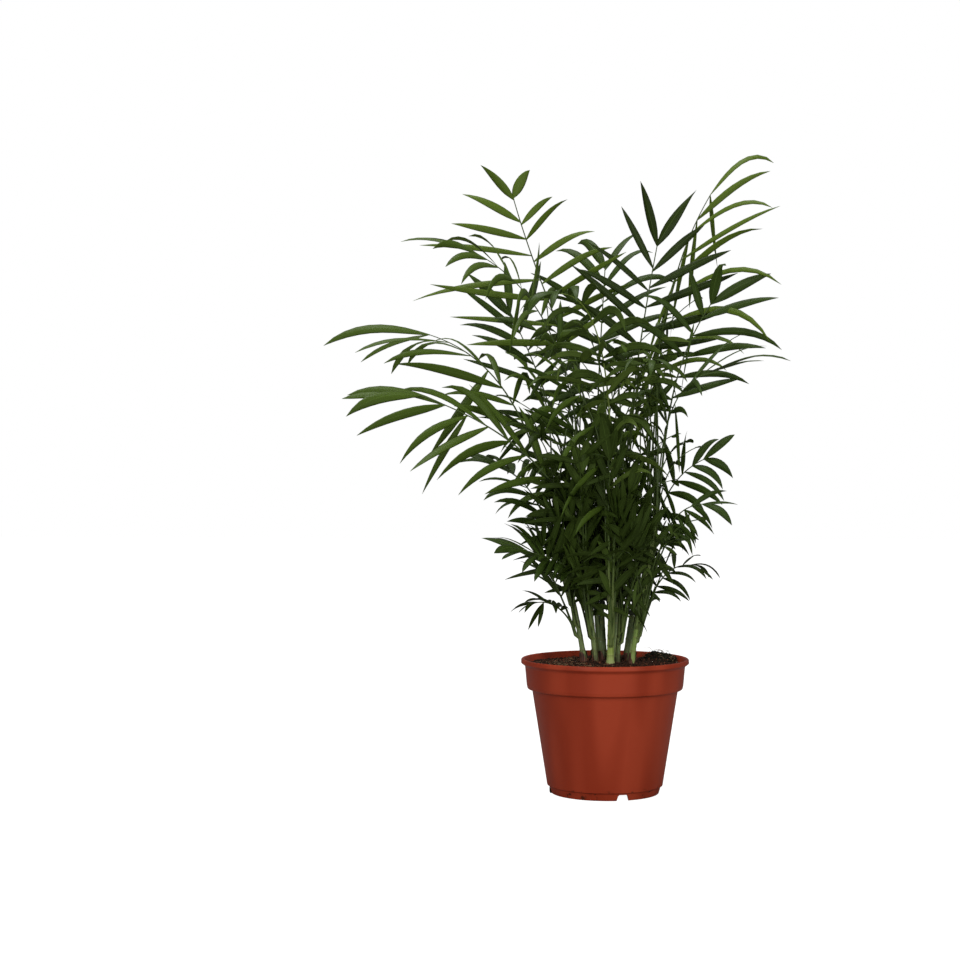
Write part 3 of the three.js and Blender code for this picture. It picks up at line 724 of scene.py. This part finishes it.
def litter_tree():
    """Strews rough grains over the input's faces, each turned and stretched at random. Where
    names the attribute that says where they lie."""
    tree, start, end = new_tree(
        "strew grains",
        ("Density", "Float", 100000.0),
        ("Grain", "Vector", (0.002, 0.002, 0.001)),
        ("Spread", "Float", 0.5),
        ("Seed", "Int", 1),
        ("Where", "String", "litter"),
    )
    seed = start.outputs["Seed"]
    spread = start.outputs["Spread"]
    weight = add(tree, "GeometryNodeInputNamedAttribute", start.outputs["Where"], data_type="FLOAT")
    density = add(tree, "ShaderNodeMath", start.outputs["Density"], weight, operation="MULTIPLY")
    spots = add(
        tree, "GeometryNodeDistributePointsOnFaces", {"Mesh": start, "Density": density, "Seed": seed}
    )
    ball = add(tree, "GeometryNodeMeshIcoSphere", {"Radius": 0.5, "Subdivisions": 1})
    noise = add(tree, "ShaderNodeTexNoise", {"Scale": 3.1, "Detail": 1.0}).outputs["Color"]
    push = add(tree, "ShaderNodeVectorMath", noise, (0.5, 0.5, 0.5), operation="SUBTRACT")
    rough = add(tree, "GeometryNodeSetPosition", {"Geometry": ball, "Offset": push})
    turn = add(
        tree, "FunctionNodeRandomValue",
        {"Min": (0.0, 0.0, 0.0), "Max": (6.28, 6.28, 6.28), "Seed": seed}, data_type="FLOAT_VECTOR",
    )
    low = add(tree, "ShaderNodeMath", 1.0, spread, operation="SUBTRACT")
    high = add(tree, "ShaderNodeMath", 1.0, spread, operation="ADD")
    grow = add(
        tree, "FunctionNodeRandomValue", {"Min": low, "Max": high, "Seed": 7}, data_type="FLOAT"
    )
    size = add(tree, "ShaderNodeVectorMath", start.outputs["Grain"], grow, operation="SCALE")
    rotation = add(tree, "FunctionNodeEulerToRotation", turn)
    grains = add(
        tree, "GeometryNodeInstanceOnPoints",
        {"Points": spots, "Instance": rough, "Rotation": rotation, "Scale": size},
    )
    return finish_tree(tree, start, end, grains)


# ------------------------------------------------------------------ meshes and pieces


def smooth(mesh):
    mesh.polygons.foreach_set("use_smooth", [True] * len(mesh.polygons))


def mesh_of(name, points, faces):
    """A mesh in metres, of points in millimetres."""
    mesh = bpy.data.meshes.new(name)
    mesh.from_pydata([[c * MM for c in p] for p in points], [], faces)
    mesh.validate()
    return mesh


def give(mesh, name, kind, field, values):
    """Stores a value on each of a mesh's points."""
    held = mesh.attributes.new(name, kind, "POINT")
    held.data.foreach_set(field, np.array(values, dtype=np.float32).ravel())


def lines_mesh(lines):
    """Lines as a mesh of edges. Each line is a row of (place, upper side, half width)."""
    points = list(itertools.chain(*lines))
    edges = []
    for line in lines:
        first = edges[-1][1] + 1 if edges else 0
        edges += [(first + k, first + k + 1) for k in range(len(line) - 1)]
    mesh = bpy.data.meshes.new("lines")
    mesh.from_pydata([tuple(p[0] * MM) for p in points], edges, [])
    give(mesh, "face", "FLOAT_VECTOR", "vector", [p[1] for p in points])
    give(mesh, "half", "FLOAT", "value", [p[2] * MM for p in points])
    return mesh


def faced_out(mesh):
    """Turns a closed mesh's faces outward."""
    shape = bmesh.new()
    shape.from_mesh(mesh)
    bmesh.ops.recalc_face_normals(shape, faces=shape.faces)
    shape.to_mesh(mesh)
    shape.free()
    return mesh


def stand(name, data):
    """Puts a new object into the scene."""
    thing = bpy.data.objects.new(name, data)
    bpy.context.scene.collection.objects.link(thing)
    return thing


def plain_mesh(name, thing):
    """The mesh of an object with its modifiers carried out. The object itself goes."""
    graph = bpy.context.evaluated_depsgraph_get()
    mesh = bpy.data.meshes.new_from_object(thing.evaluated_get(graph), depsgraph=graph)
    mesh.name = name
    bpy.data.objects.remove(thing)
    return mesh


def place_piece(name, mesh, material, slot, *replaced):
    """Stands a finished mesh in the scene as a piece of the plant."""
    piece = stand(name, mesh)
    mesh.materials.clear()
    mesh.materials.append(material)
    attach(piece, "root")
    if replaced:
        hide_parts(*replaced)


def grow_piece(name, seed_mesh, tree, material, slot, *replaced, **values):
    """Runs a tree on a mesh, and places the plain mesh that comes of it."""
    carrier = stand(name + "_seed", seed_mesh)
    modifier = carrier.modifiers.new(tree.name, "NODES")
    modifier.node_group = tree
    values["Material"] = material
    for item in tree.interface.items_tree:
        if item.in_out == "INPUT" and item.name in values:
            modifier[item.identifier] = values[item.name]
    mesh = plain_mesh(name, carrier)
    bpy.data.meshes.remove(seed_mesh)
    for spare in ("face", "half", "along", "section", "litter", "heaped"):
        if spare in mesh.attributes:
            mesh.attributes.remove(mesh.attributes[spare])
    place_piece(name, mesh, material, slot, *replaced)


# ------------------------------------------------------------------ rings and prisms


def circle(radius, height, count):
    """Points round the Z axis."""
    angles = [2 * math.pi * k / count for k in range(count)]
    return [(radius * math.cos(a), radius * math.sin(a), height) for a in angles]


def bands(rows):
    """The faces between rings of points, each ring given by its numbers. A ring of one
    number is a pole."""
    faces = []
    for low, high in zip(rows, rows[1:]):
        count = max(len(low), len(high))
        for k in range(count):
            n = (k + 1) % count
            corners = (low[k % len(low)], high[k % len(high)], high[n % len(high)], low[n % len(low)])
            faces.append(tuple(dict.fromkeys(corners)))
    return faces


def prism(outline, low, high):
    """The points and faces of an outline of (x, y) points, from one height to another."""
    n = len(outline)
    points = [(x, y, z) for z in (low, high) for x, y in outline]
    faces = [tuple(range(n))[::-1], tuple(range(n, 2 * n))]
    faces += [(k, (k + 1) % n, n + (k + 1) % n, n + k) for k in range(n)]
    return points, faces


def through_wall(outline, angle, radius, depth):
    """A prism of (sideways, up) points that runs through the foot ring at an angle."""
    points, faces = prism(outline, radius - depth, radius + depth)
    c, s = math.cos(math.radians(angle)), math.sin(math.radians(angle))
    return [(out * c - x * s, out * s + x * c, z) for x, z, out in points], faces


def mirrored(*right):
    """An outline from the points of its right half, from the bottom up."""
    left = [(-x, z) for x, z in reversed(right)]
    return left[-1:] + list(right) + left[:-1]


def joined(bodies):
    """Bodies of (points, faces) as the points and faces of one mesh."""
    points = []
    faces = []
    for body, sides in bodies:
        faces += [tuple(len(points) + k for k in side) for side in sides]
        points += body
    return points, faces


# ------------------------------------------------------------------ pot


def rounded(corners, steps=6):
    """A profile of (radius, height, rounding) corners, with each corner made an arc."""
    points = []
    for k, (r, z, size) in enumerate(corners):
        here = np.array((r, z))
        if size <= 0:
            points.append(here)
            continue
        before = unit(np.array(corners[k - 1][:2]) - here)
        after = unit(np.array(corners[k + 1][:2]) - here)
        turn = math.acos(float(np.clip(before.dot(after), -1, 1)))
        cut = size / math.tan(turn / 2)
        centre = here + unit(before + after) * size / math.sin(turn / 2)
        a = here + before * cut - centre
        b = here + after * cut - centre
        points += [centre + size * unit(mix(a, b, step / steps) + 1e-9) for step in range(steps + 1)]
    return points


def turned_mesh(name, profile, around):
    """A profile turned about Z. It starts and ends on the axis."""
    points = []
    rows = []
    for r, z in profile:
        first = len(points)
        points += circle(r, z, around) if r else [(0, 0, z)]
        rows.append(range(first, len(points)))
    return faced_out(mesh_of(name, points, bands(rows)))


def pot_mesh(sizes):
    """The turned wall, with its notches and drain holes cut out."""
    half = sizes.notch / MM / 2
    notch = mirrored((half + 0.9, -2), (half - 0.7, 4.8), (half - 1.8, NOTCH_TOP))
    cuts = [through_wall(notch, angle, FOOT_RADIUS + 0.5, NOTCH_DEPTH) for angle in NOTCH_ANGLES]
    for i in range(DRAINS):
        a = math.radians(NOTCH_ANGLES[0] + 360 * i / DRAINS)
        x, y = DRAIN_CIRCLE * math.cos(a), DRAIN_CIRCLE * math.sin(a)
        hole = [(x + p[0], y + p[1]) for p in circle(DRAIN_RADIUS, 0, 24)]
        cuts.append(prism(hole, FLOOR_UNDER - 1.4, FLOOR_TOP + 1.4))
    body = stand("pot_body", turned_mesh("pot_body", rounded(POT_PROFILE), sizes.facets))
    knife = stand("pot_cuts", faced_out(mesh_of("pot_cuts", *joined(cuts))))
    cutting = body.modifiers.new("cut", "BOOLEAN")
    cutting.operation = "DIFFERENCE"
    cutting.solver = "EXACT"
    cutting.object = knife
    mesh = plain_mesh("pot", body)
    bpy.data.objects.remove(knife)
    smooth(mesh)
    mesh.set_sharp_from_angle(angle=math.radians(38))
    return mesh


# ------------------------------------------------------------------ soil


def soil_height(x, y):
    """How high the soil lies: level in the clump, rough near the lip, heaped at the back."""
    r = math.hypot(x, y)
    wild = min(1, max(0, (r - SOIL_FLAT) / SOIL_BLEND))
    wild = wild * wild * (3 - 2 * wild)
    bumps = math.sin(x * 0.19 + 1.3) * math.cos(y * 0.23 - 0.4) * SOIL_ROUGH
    aside = r * (math.atan2(y, x) - math.radians(HEAP_ANGLE)) / HEAP_LONG
    heap = HEAP_HIGH * math.exp(-(aside**4) - ((r - HEAP_RADIUS) / HEAP_WIDE) ** 2)
    fine = 0.5 * math.sin(x * 0.9 + 2 * math.sin(y * 0.7)) * math.cos(y * 1.1 + math.sin(x * 0.5))
    mound = MOUND_HIGH * math.exp(-(((x - CLUMP_X) / 40) ** 2) - ((y / 34) ** 2))
    sunk = SOIL_ROUGH * wild * (1 - heap / HEAP_HIGH)
    return SOIL_LEVEL + mound - sunk + wild * (bumps + heap) + fine * min(1, wild + 0.4)


def soil_mesh():
    """The soil as one closed body inside the pot's wall, and its top alone to strew on. The
    top carries how thick the litter and, on the heap, the moss lie on it."""
    heap_x = HEAP_RADIUS * math.cos(math.radians(HEAP_ANGLE))
    heap_y = HEAP_RADIUS * math.sin(math.radians(HEAP_ANGLE))
    points = [(0, 0, soil_height(0, 0))]
    litter = [0.4]
    heaped = [0]
    rows = [range(1)]
    for k in range(1, SOIL_RINGS + 1):
        r = SOIL_EDGE * (k / SOIL_RINGS) ** 0.9
        rows.append(range(len(points), len(points) + SOIL_SIDES))
        for x, y, _ in circle(r, 0, SOIL_SIDES):
            points.append((x, y, soil_height(x, y)))
            litter.append(min(1, 0.35 + max(0, r - 25) / 40))
            heaped.append(max(0, 1 - (math.hypot(x - heap_x, y - heap_y) / MOSS_REACH) ** 2))
    top = mesh_of("soil_top", points, bands(rows))
    give(top, "litter", "FLOAT", "value", litter)
    give(top, "heaped", "FLOAT", "value", heaped)
    for r, z in SOIL_WALL:
        rows.append(range(len(points), len(points) + SOIL_SIDES))
        points += circle(r, z, SOIL_SIDES)
    return mesh_of("soil", points, bands(rows) + [tuple(reversed(rows[-1]))]), top


def fibre_lines():
    """Dead roots strewn on the soil, and a few that stand up out of the heap."""
    lines = []
    for n in range(FIBRES):
        standing = n % 5 == 0
        if standing:
            a = math.radians(HEAP_ANGLE + 22 * scatter(n, 1))
            r = HEAP_RADIUS + 6 * scatter(n, 2)
        else:
            a = math.radians(195 + 75 * scatter(n, 1))
            r = 52 + 22 * scatter(n, 2)
        here = np.array((r * math.cos(a), r * math.sin(a), 0.0))
        here[2] = soil_height(here[0], here[1]) + 0.8
        turn = math.pi * scatter(n, 3)
        step = (1.3 + 0.6 * scatter(n, 4)) * (0.8 if standing else 1)
        line = []
        for k in range(FIBRE_STEPS):
            line.append((here, UP, FIBRE_HALF * (1 - 0.07 * k)))
            turn += 0.5 * scatter(n * FIBRE_STEPS + k, 5)
            climb = 1.3 - 0.25 * k if standing else 0.25 * math.sin(k * 0.8 + n)
            here = here + step * np.array((math.cos(turn), math.sin(turn), climb))
            if math.hypot(here[0], here[1]) > 76:
                break
            here[2] = max(here[2], soil_height(here[0], here[1]) + 0.6)
        if len(line) > 3:
            lines.append(line)
    return lines


# ------------------------------------------------------------------ canes and husks


def cane_girth(i):
    """How thick a cane is grown, beside its solid."""
    return CANE_GIRTHS.get(i, 0.74 + 0.1 * scatter(i, 2))


def cane_rings(i):
    """A cane's middle line, swollen at each joint."""
    line = []
    for k in range(CANE_STEPS + 1):
        share = k / CANE_STEPS
        swell = JOINT_SWELL * math.exp(-((((share * CANE_JOINTS + 0.5) % 1) - 0.5) / JOINT_BREADTH) ** 2)
        radius = cane_radius(share) * cane_girth(i) * (1 + swell)
        line.append((CANE_LINES[i].point(share), BACK, radius))
    return line


def husk_ring(i, layer, skin, row):
    """One ring of a dry sheath on cane i. Its outer skin is 0 and its inner skin 1."""
    line = CANE_LINES[i]
    up = row / HUSK_ROWS
    tall = 0.1 + 0.09 * scatter(i, 21 + layer) - 0.02 * layer
    points = []
    for k in range(HUSK_SIDES):
        a = 2 * math.pi * k / HUSK_SIDES + math.pi * scatter(i, 31 + layer)
        ragged = 1 - 0.4 * (1 + math.sin(a * 2 + i)) - 0.2 * abs(scatter(k + 40 * i, 5 + layer))
        share = max(0.0, tall * max(0.05, ragged) * up)
        centre = line.point(share) - UP * (0 if row else 1.2)
        along = line.tangent(share)
        across = unit(np.cross(BACK, along))
        other = np.cross(along, across)
        flare = 0.35 + 0.5 * layer + 0.9 * up**3 * (0.5 + 0.5 * scatter(k // 3 + 9 * i, 8))
        radius = cane_radius(share) * cane_girth(i) * 1.04 + flare - HUSK_THICK * skin
        points.append(centre + across * radius * math.cos(a) + other * radius * math.sin(a))
    return points


def husk(i, layer):
    """A torn sheath round the foot of cane i: a thin closed wall with a ragged edge."""
    rising = range(HUSK_ROWS + 1)
    order = [(0, row) for row in rising] + [(1, row) for row in reversed(rising)]
    points = [p for skin, row in order for p in husk_ring(i, layer, skin, row)]
    rows = [range(k, k + HUSK_SIDES) for k in range(0, len(points), HUSK_SIDES)]
    return points, bands(rows + rows[:1])


# ------------------------------------------------------------------ ribs and leaflets


def sheath_and_rib(f):
    """A frond's stalk: a sheath that wraps the cane, and leaves it as the rib."""
    rows = []
    girth = cane_girth(f.cane)
    wrap = 0.2 if f.fork < 1 else 0.14  # the share of the cane that it covers
    clasp = 0.9 if f.cane in (YOUNG_CANE, PALE_CANE) else 1.07  # its fit on the cane
    for k in range(SHEATH_STEPS + (f.fork == 1)):
        share = f.fork - wrap * (1 - k / SHEATH_STEPS)
        rows.append((f.cane_line.point(max(0.0, share)), clasp * cane_radius(share) * girth))
    for k in range(1, RIB_STEPS + 1):
        share = (k / RIB_STEPS) ** 1.15
        place = f.line.point(f.line.at(share))
        fade = max(0.0, 1 - share * f.line.length / SHEATH_FADE)
        rows.append((place, mix(mix(RIB_FOOT, RIB_TIP, share), 1.02 * CANE_TOP * girth, fade**2)))
    made = []
    for k, (place, radius) in enumerate(rows):
        share = max(0.0, (k - SHEATH_STEPS) / (len(rows) - SHEATH_STEPS - 1))
        made.append((place, f.blade_at(min(1, share))[3], radius))
    return made


def leaflet(f, i, hand, look):
    """The middle line of one leaflet: it rises off the rib, then arches over and hangs. It
    belongs to pair i of a frond, and its hand is 0 on the left and 1 on the right."""
    u = i / (f.pairs - 1)
    key = f.key * 40 + i * 2 + hand
    share = mix(f.bare, LAST_PAIR, u**0.95)
    place, along, across, face = f.blade_at(min(1, share + 0.012 * scatter(key, 9)))
    grow = mix(0.7, 1, min(1, u / 0.35))
    fade = mix(1, f.end, max(0, (u - 0.3) / 0.7) ** 1.2)
    length = f.leaf * grow * fade * f.size[hand] * (1 + 0.14 * scatter(key, 5))
    spread = mix(*LEAFLET_SPREAD, u**3) * (1 + 0.14 * scatter(key, 3)) * f.close[hand]
    angle = math.radians(spread + f.skew[hand])
    rise = math.radians(LEAFLET_RISE + 14 * scatter(key, 4))
    out = across * (2 * hand - 1) * math.cos(rise) + face * math.sin(rise)
    start = along * math.cos(angle) + out * math.sin(angle)
    snapped = scatter(key, 13) > 1 - 2 * f.broken and u < 0.8
    start = unit(start - UP * (f.hang[hand] + (SNAP if snapped else 0)))
    limp = f.droop[hand] * (1 + 0.3 * scatter(f.key, 14))
    droop = limp * (1 + 0.6 * scatter(key, 6)) * look.droop
    hook = 0.12 + 0.26 * scatter(key, 10)
    roll = LEAFLET_ROLL * scatter(key, 11)
    twist = LEAFLET_TWIST * scatter(key, 12)
    broad = mix(1, f.wide, max(0, (u - 0.75) / 0.25) ** 1.5) * (1 + 0.15 * scatter(key, 15))
    half = look.width / MM / 2 * (f.leaf / 90) ** 0.35 * broad * f.slim
    line = []
    here = place - start * 0.4
    for k in range(LEAFLET_STEPS + 1):
        s = k / LEAFLET_STEPS
        heading = unit(start - UP * 2 * droop * s * s + along * hook * s * s)
        up = unit(face - heading * face.dot(heading))
        edge = np.cross(heading, up)
        tip = roll + twist * s * s
        line.append((here, up * math.cos(tip) + edge * math.sin(tip), half))
        here = here + heading * (length / LEAFLET_STEPS)
    return line


# ------------------------------------------------------------------ user settings


class PalmPotSettings(bpy.types.PropertyGroup):
    facets: bpy.props.IntProperty(
        name="Facets", description="Flats round the pot", default=144, min=24, max=360
    )
    notch: bpy.props.FloatProperty(
        name="Notch width", description="Width of each notch in the foot ring",
        default=11.8 * MM, unit="LENGTH",
    )


class PalmLeafSettings(bpy.types.PropertyGroup):
    width: bpy.props.FloatProperty(
        name="Leaflet width", description="Width of a 90 mm leaflet at its widest",
        default=6.9 * MM, unit="LENGTH",
    )
    fold: bpy.props.FloatProperty(
        name="Fold", description="How far the middle stands above the edges, by half width",
        default=0.2, min=0, max=1,
    )
    thickness: bpy.props.FloatProperty(
        name="Thickness", description="Thickness by width", default=0.07, min=0.01, max=0.5
    )
    droop: bpy.props.FloatProperty(
        name="Droop", description="How limp the leaflets are", default=1.0, min=0, max=3
    )


class PalmStageSettings(bpy.types.PropertyGroup):
    distance: bpy.props.FloatProperty(
        name="Camera distance", description="From the camera to the pot's axis",
        default=2.0, unit="LENGTH",
    )
    ambient: bpy.props.FloatProperty(
        name="Ambient", description="How strongly the white surroundings light the plant",
        default=0.2, min=0, max=2,
    )
    glow: bpy.props.FloatProperty(
        name="Floor glow", description="Light that the floor gives of its own, to stay white",
        default=1.0, min=0, max=2,
    )
    floor: bpy.props.FloatVectorProperty(
        name="Floor", description="Colour of the floor", subtype="COLOR", size=4,
        default=linear("#8C8C8A"),
    )


# ------------------------------------------------------------------ operators


class PALM_OT_pot(bpy.types.Operator):
    """Turns the nursery pot and cuts its notches and drain holes"""

    bl_idname = "palm.pot"
    bl_label = "Pot"

    def execute(self, context):
        place_piece("pot_moulded", pot_mesh(context.scene.palm_pot), pot_material(), "pot", "pot")
        return {"FINISHED"}


class PALM_OT_soil(bpy.types.Operator):
    """Fills the pot with peat and strews it with crumbs, bark and perlite"""

    bl_idname = "palm.soil"
    bl_label = "Soil"

    def execute(self, context):
        body, top = soil_mesh()
        smooth(body)
        peat = earth_material("moist peat", "#24140D", "#523322", 260)
        place_piece("soil_peat", body, peat, "soil", "soil")
        tree = litter_tree()
        crumb = earth_material("peat crumb", "#1E110B", "#4C2F1F", 500)
        moss = earth_material("dark mossy peat", "#0F0F06", "#2C2814", 420)
        bark = earth_material("composted bark", "#4F2C1D", "#82513A", 420)
        stone = earth_material("perlite", "#A79C8A", "#D8D0C0", 700)
        kinds = (
            ("peat_crumbs", crumb, "litter", 170000, (2.6, 2.2, 1.8), 0.6),
            ("moss_lumps", moss, "heaped", 520000, (3.4, 2.6, 2.2), 0.6),
            ("bark_bits", bark, "litter", 26000, (4.2, 1.8, 1.2), 0.5),
            ("perlite", stone, "litter", 2600, (1.5, 1.4, 1.2), 0.4),
        )
        for seed, (name, material, where, density, grain, spread) in enumerate(kinds, 3):
            size = tuple(g * MM for g in grain)
            grow_piece(
                name, top.copy(), tree, material, "soil",
                Density=density, Grain=size, Spread=spread, Seed=seed, Where=where,
            )
        bpy.data.meshes.remove(top)
        # A dark plug in one notch, in the dark mossy peat's colours: painted shade, for the dark inside of
        # that notch.
        outline = mirrored((5.2, 0.3), (5.0, 4.2), (3.9, 5.7))
        plug = through_wall(outline, PLUGGED, FOOT_RADIUS + 0.1, PLUG_DEPTH)
        place_piece("shade_plug", faced_out(mesh_of("shade_plug", *plug)), moss, "soil")
        root = earth_material("dead root fibre", "#6E4F38", "#B59A76", 900)
        sweep = sweep_tree("sweep fibres", 4)
        grow_piece("root_fibres", lines_mesh(fibre_lines()), sweep, root, "soil")
        return {"FINISHED"}


class PALM_OT_canes(bpy.types.Operator):
    """Grows the twelve ringed canes and the dry sheaths round their feet"""

    bl_idname = "palm.canes"
    bl_label = "Canes"

    def execute(self, context):
        tree = sweep_tree("sweep canes", 16)
        old = cane_material("green palm cane with leaf scars", "#36481F", "#8A9D66", "#4A3324")
        kinds = {
            YOUNG_CANE: cane_material("young yellow-green palm cane", "#6F8A2E", "#B0C468", "#B9C285"),
            PALE_CANE: cane_material("pale green palm shoot", "#536A28", "#92AC5A", "#A3B26C"),
        }
        for i in range(CANES):
            number = f"{i + 1:02d}"
            line = lines_mesh([cane_rings(i)])
            grow_piece(f"cane_{number}", line, tree, kinds.get(i, old), "stems", f"stem_{number}")
        husks = [husk(i, layer) for i in range(CANES) for layer in range(HUSK_LAYERS)]
        sheaths = mesh_of("dry_sheaths", *joined(husks))
        sheaths.flip_normals()  # the bands' faces look inward
        smooth(sheaths)
        place_piece("dry_sheaths", sheaths, husk_material(), "stems")
        return {"FINISHED"}


class PALM_OT_ribs(bpy.types.Operator):
    """Grows every frond's sheath and rib, one piece to a group of fronds"""

    bl_idname = "palm.ribs"
    bl_label = "Sheaths and ribs"

    def execute(self, context):
        tree = sweep_tree("sweep ribs", 8)
        groups = {}
        for name, fronds in all_fronds().items():
            group = name.rsplit("_", 1)[0] if name.split("_")[0] in TIER_NAMES else "standing"
            if name == YOUNG_FROND:
                group = "young"
            groups.setdefault(group, []).extend(sheath_and_rib(f) for f in fronds)
        green = rib_material("green palm petiole", "#9AAB63", "#4C5F28")
        young = rib_material("young yellow-green palm petiole", "#A9BC5C", "#8FA548")
        for group, lines in groups.items():
            material = young if group == "young" else green
            grow_piece(f"ribs_{group}", lines_mesh(lines), tree, material, "stems", Flat=0.85)
        return {"FINISHED"}


class PALM_OT_leaflets(bpy.types.Operator):
    """Grows the leaflets of every frond, each frond as a piece of its own"""

    bl_idname = "palm.leaflets"
    bl_label = "Leaflets"

    def execute(self, context):
        look = context.scene.palm_leaf
        tree = sweep_tree("sweep leaflets", 8, TAPER)
        # One material to each green: lit and shaded copies of one leaf, so partly painted light and shade.
        materials = {
            green: leaf_material(f"{green} green palm leaf", *pair) for green, pair in GREENS.items()
        }
        for name, fronds in all_fronds().items():
            lines = [leaflet(f, i, hand, look) for f in fronds for i in range(f.pairs) for hand in (0, 1)]
            solid = [] if name.startswith("shoot") else [f"frond_{name}"]
            grow_piece(
                f"leaflets_{name}", lines_mesh(lines), tree, materials[fronds[0].green], "fronds",
                *solid, Flat=look.thickness, Fold=look.fold,
            )
        return {"FINISHED"}


class PALM_OT_stage(bpy.types.Operator):
    """Sets the pale floor, the soft studio lights and the camera"""

    bl_idname = "palm.stage"
    bl_label = "Stage"

    def execute(self, context):
        stage = context.scene.palm_stage
        scene = context.scene
        paint, tree, shader = new_material("pale floor paint")
        seen = add(tree, "ShaderNodeLightPath").outputs["Is Camera Ray"]
        glow = add(tree, "ShaderNodeMath", seen, stage.glow, operation="MULTIPLY")
        feed(shader, {"Base Color": stage.floor, "Roughness": 0.9})
        feed(shader, {"Emission Color": (1, 1, 1, 1), "Emission Strength": glow})
        reach = FLOOR_REACH / MM
        corners = [(-reach, -reach, 0), (reach, -reach, 0), (reach, reach, 0), (-reach, reach, 0)]
        floor = stand("floor", mesh_of("floor", corners, [(0, 1, 2, 3)]))
        floor.data.materials.append(paint)

        # The backdrop is seen as plain white, and lights the plant more softly than that.
        scene.world = bpy.data.worlds.new("white studio")
        scene.world.use_nodes = True
        tree = scene.world.node_tree
        seen = add(tree, "ShaderNodeLightPath").outputs["Is Camera Ray"]
        strength = add(
            tree, "ShaderNodeMath", seen, 1 - stage.ambient, stage.ambient, operation="MULTIPLY_ADD"
        )
        feed(tree.nodes["Background"], {"Color": (1, 1, 1, 1), "Strength": strength})
        for name, place, (wide, high), watts in SOFTBOXES:
            light = bpy.data.lights.new(name, "AREA")
            light.shape = "RECTANGLE"
            light.size = wide
            light.size_y = high
            light.energy = watts
            lamp = stand(name, light)
            lamp.location = place
            aim = Vector(LIT_PLACE) - Vector(place)
            lamp.rotation_euler = aim.to_track_quat("-Z", "Y").to_euler()

        lens = bpy.data.cameras.new("camera")
        lens.lens = LENS
        lens.sensor_width = 36
        lens.clip_end = 50
        camera = stand("camera", lens)
        camera.location = (0, -stage.distance, CAMERA_HEIGHT)
        camera.rotation_euler = Euler((math.radians(90 - CAMERA_DIP), 0, math.radians(CAMERA_SWING)))
        scene.camera = camera
        scene.view_settings.view_transform = "Standard"
        return {"FINISHED"}


class PALM_PT_panel(bpy.types.Panel):
    """Lists the palm's pieces in the sidebar"""

    bl_idname = "PALM_PT_panel"
    bl_label = "Potted parlour palm"
    bl_space_type = "VIEW_3D"
    bl_region_type = "UI"
    bl_category = "Palm"

    def draw(self, context):
        for settings in (context.scene.palm_pot, context.scene.palm_leaf, context.scene.palm_stage):
            box = self.layout.box()
            for name in settings.__annotations__:
                box.prop(settings, name)
        for step in STEPS:
            self.layout.operator(step.bl_idname)


SETTINGS = {
    "palm_pot": PalmPotSettings,
    "palm_leaf": PalmLeafSettings,
    "palm_stage": PalmStageSettings,
}
STEPS = (
    PALM_OT_pot,
    PALM_OT_soil,
    PALM_OT_canes,
    PALM_OT_ribs,
    PALM_OT_leaflets,
    PALM_OT_stage,
)


def register():
    for kind in (*SETTINGS.values(), *STEPS, PALM_PT_panel):
        bpy.utils.register_class(kind)
    for name, kind in SETTINGS.items():
        setattr(bpy.types.Scene, name, bpy.props.PointerProperty(type=kind))


def unregister():
    for name in SETTINGS:
        delattr(bpy.types.Scene, name)
    for kind in (PALM_PT_panel, *reversed(STEPS), *SETTINGS.values()):
        bpy.utils.unregister_class(kind)


def main():
    """Makes every piece in order."""
    register()
    for step in STEPS:
        group, name = step.bl_idname.split(".")
        getattr(getattr(bpy.ops, group), name)()


if __name__ == "__main__":
    main()
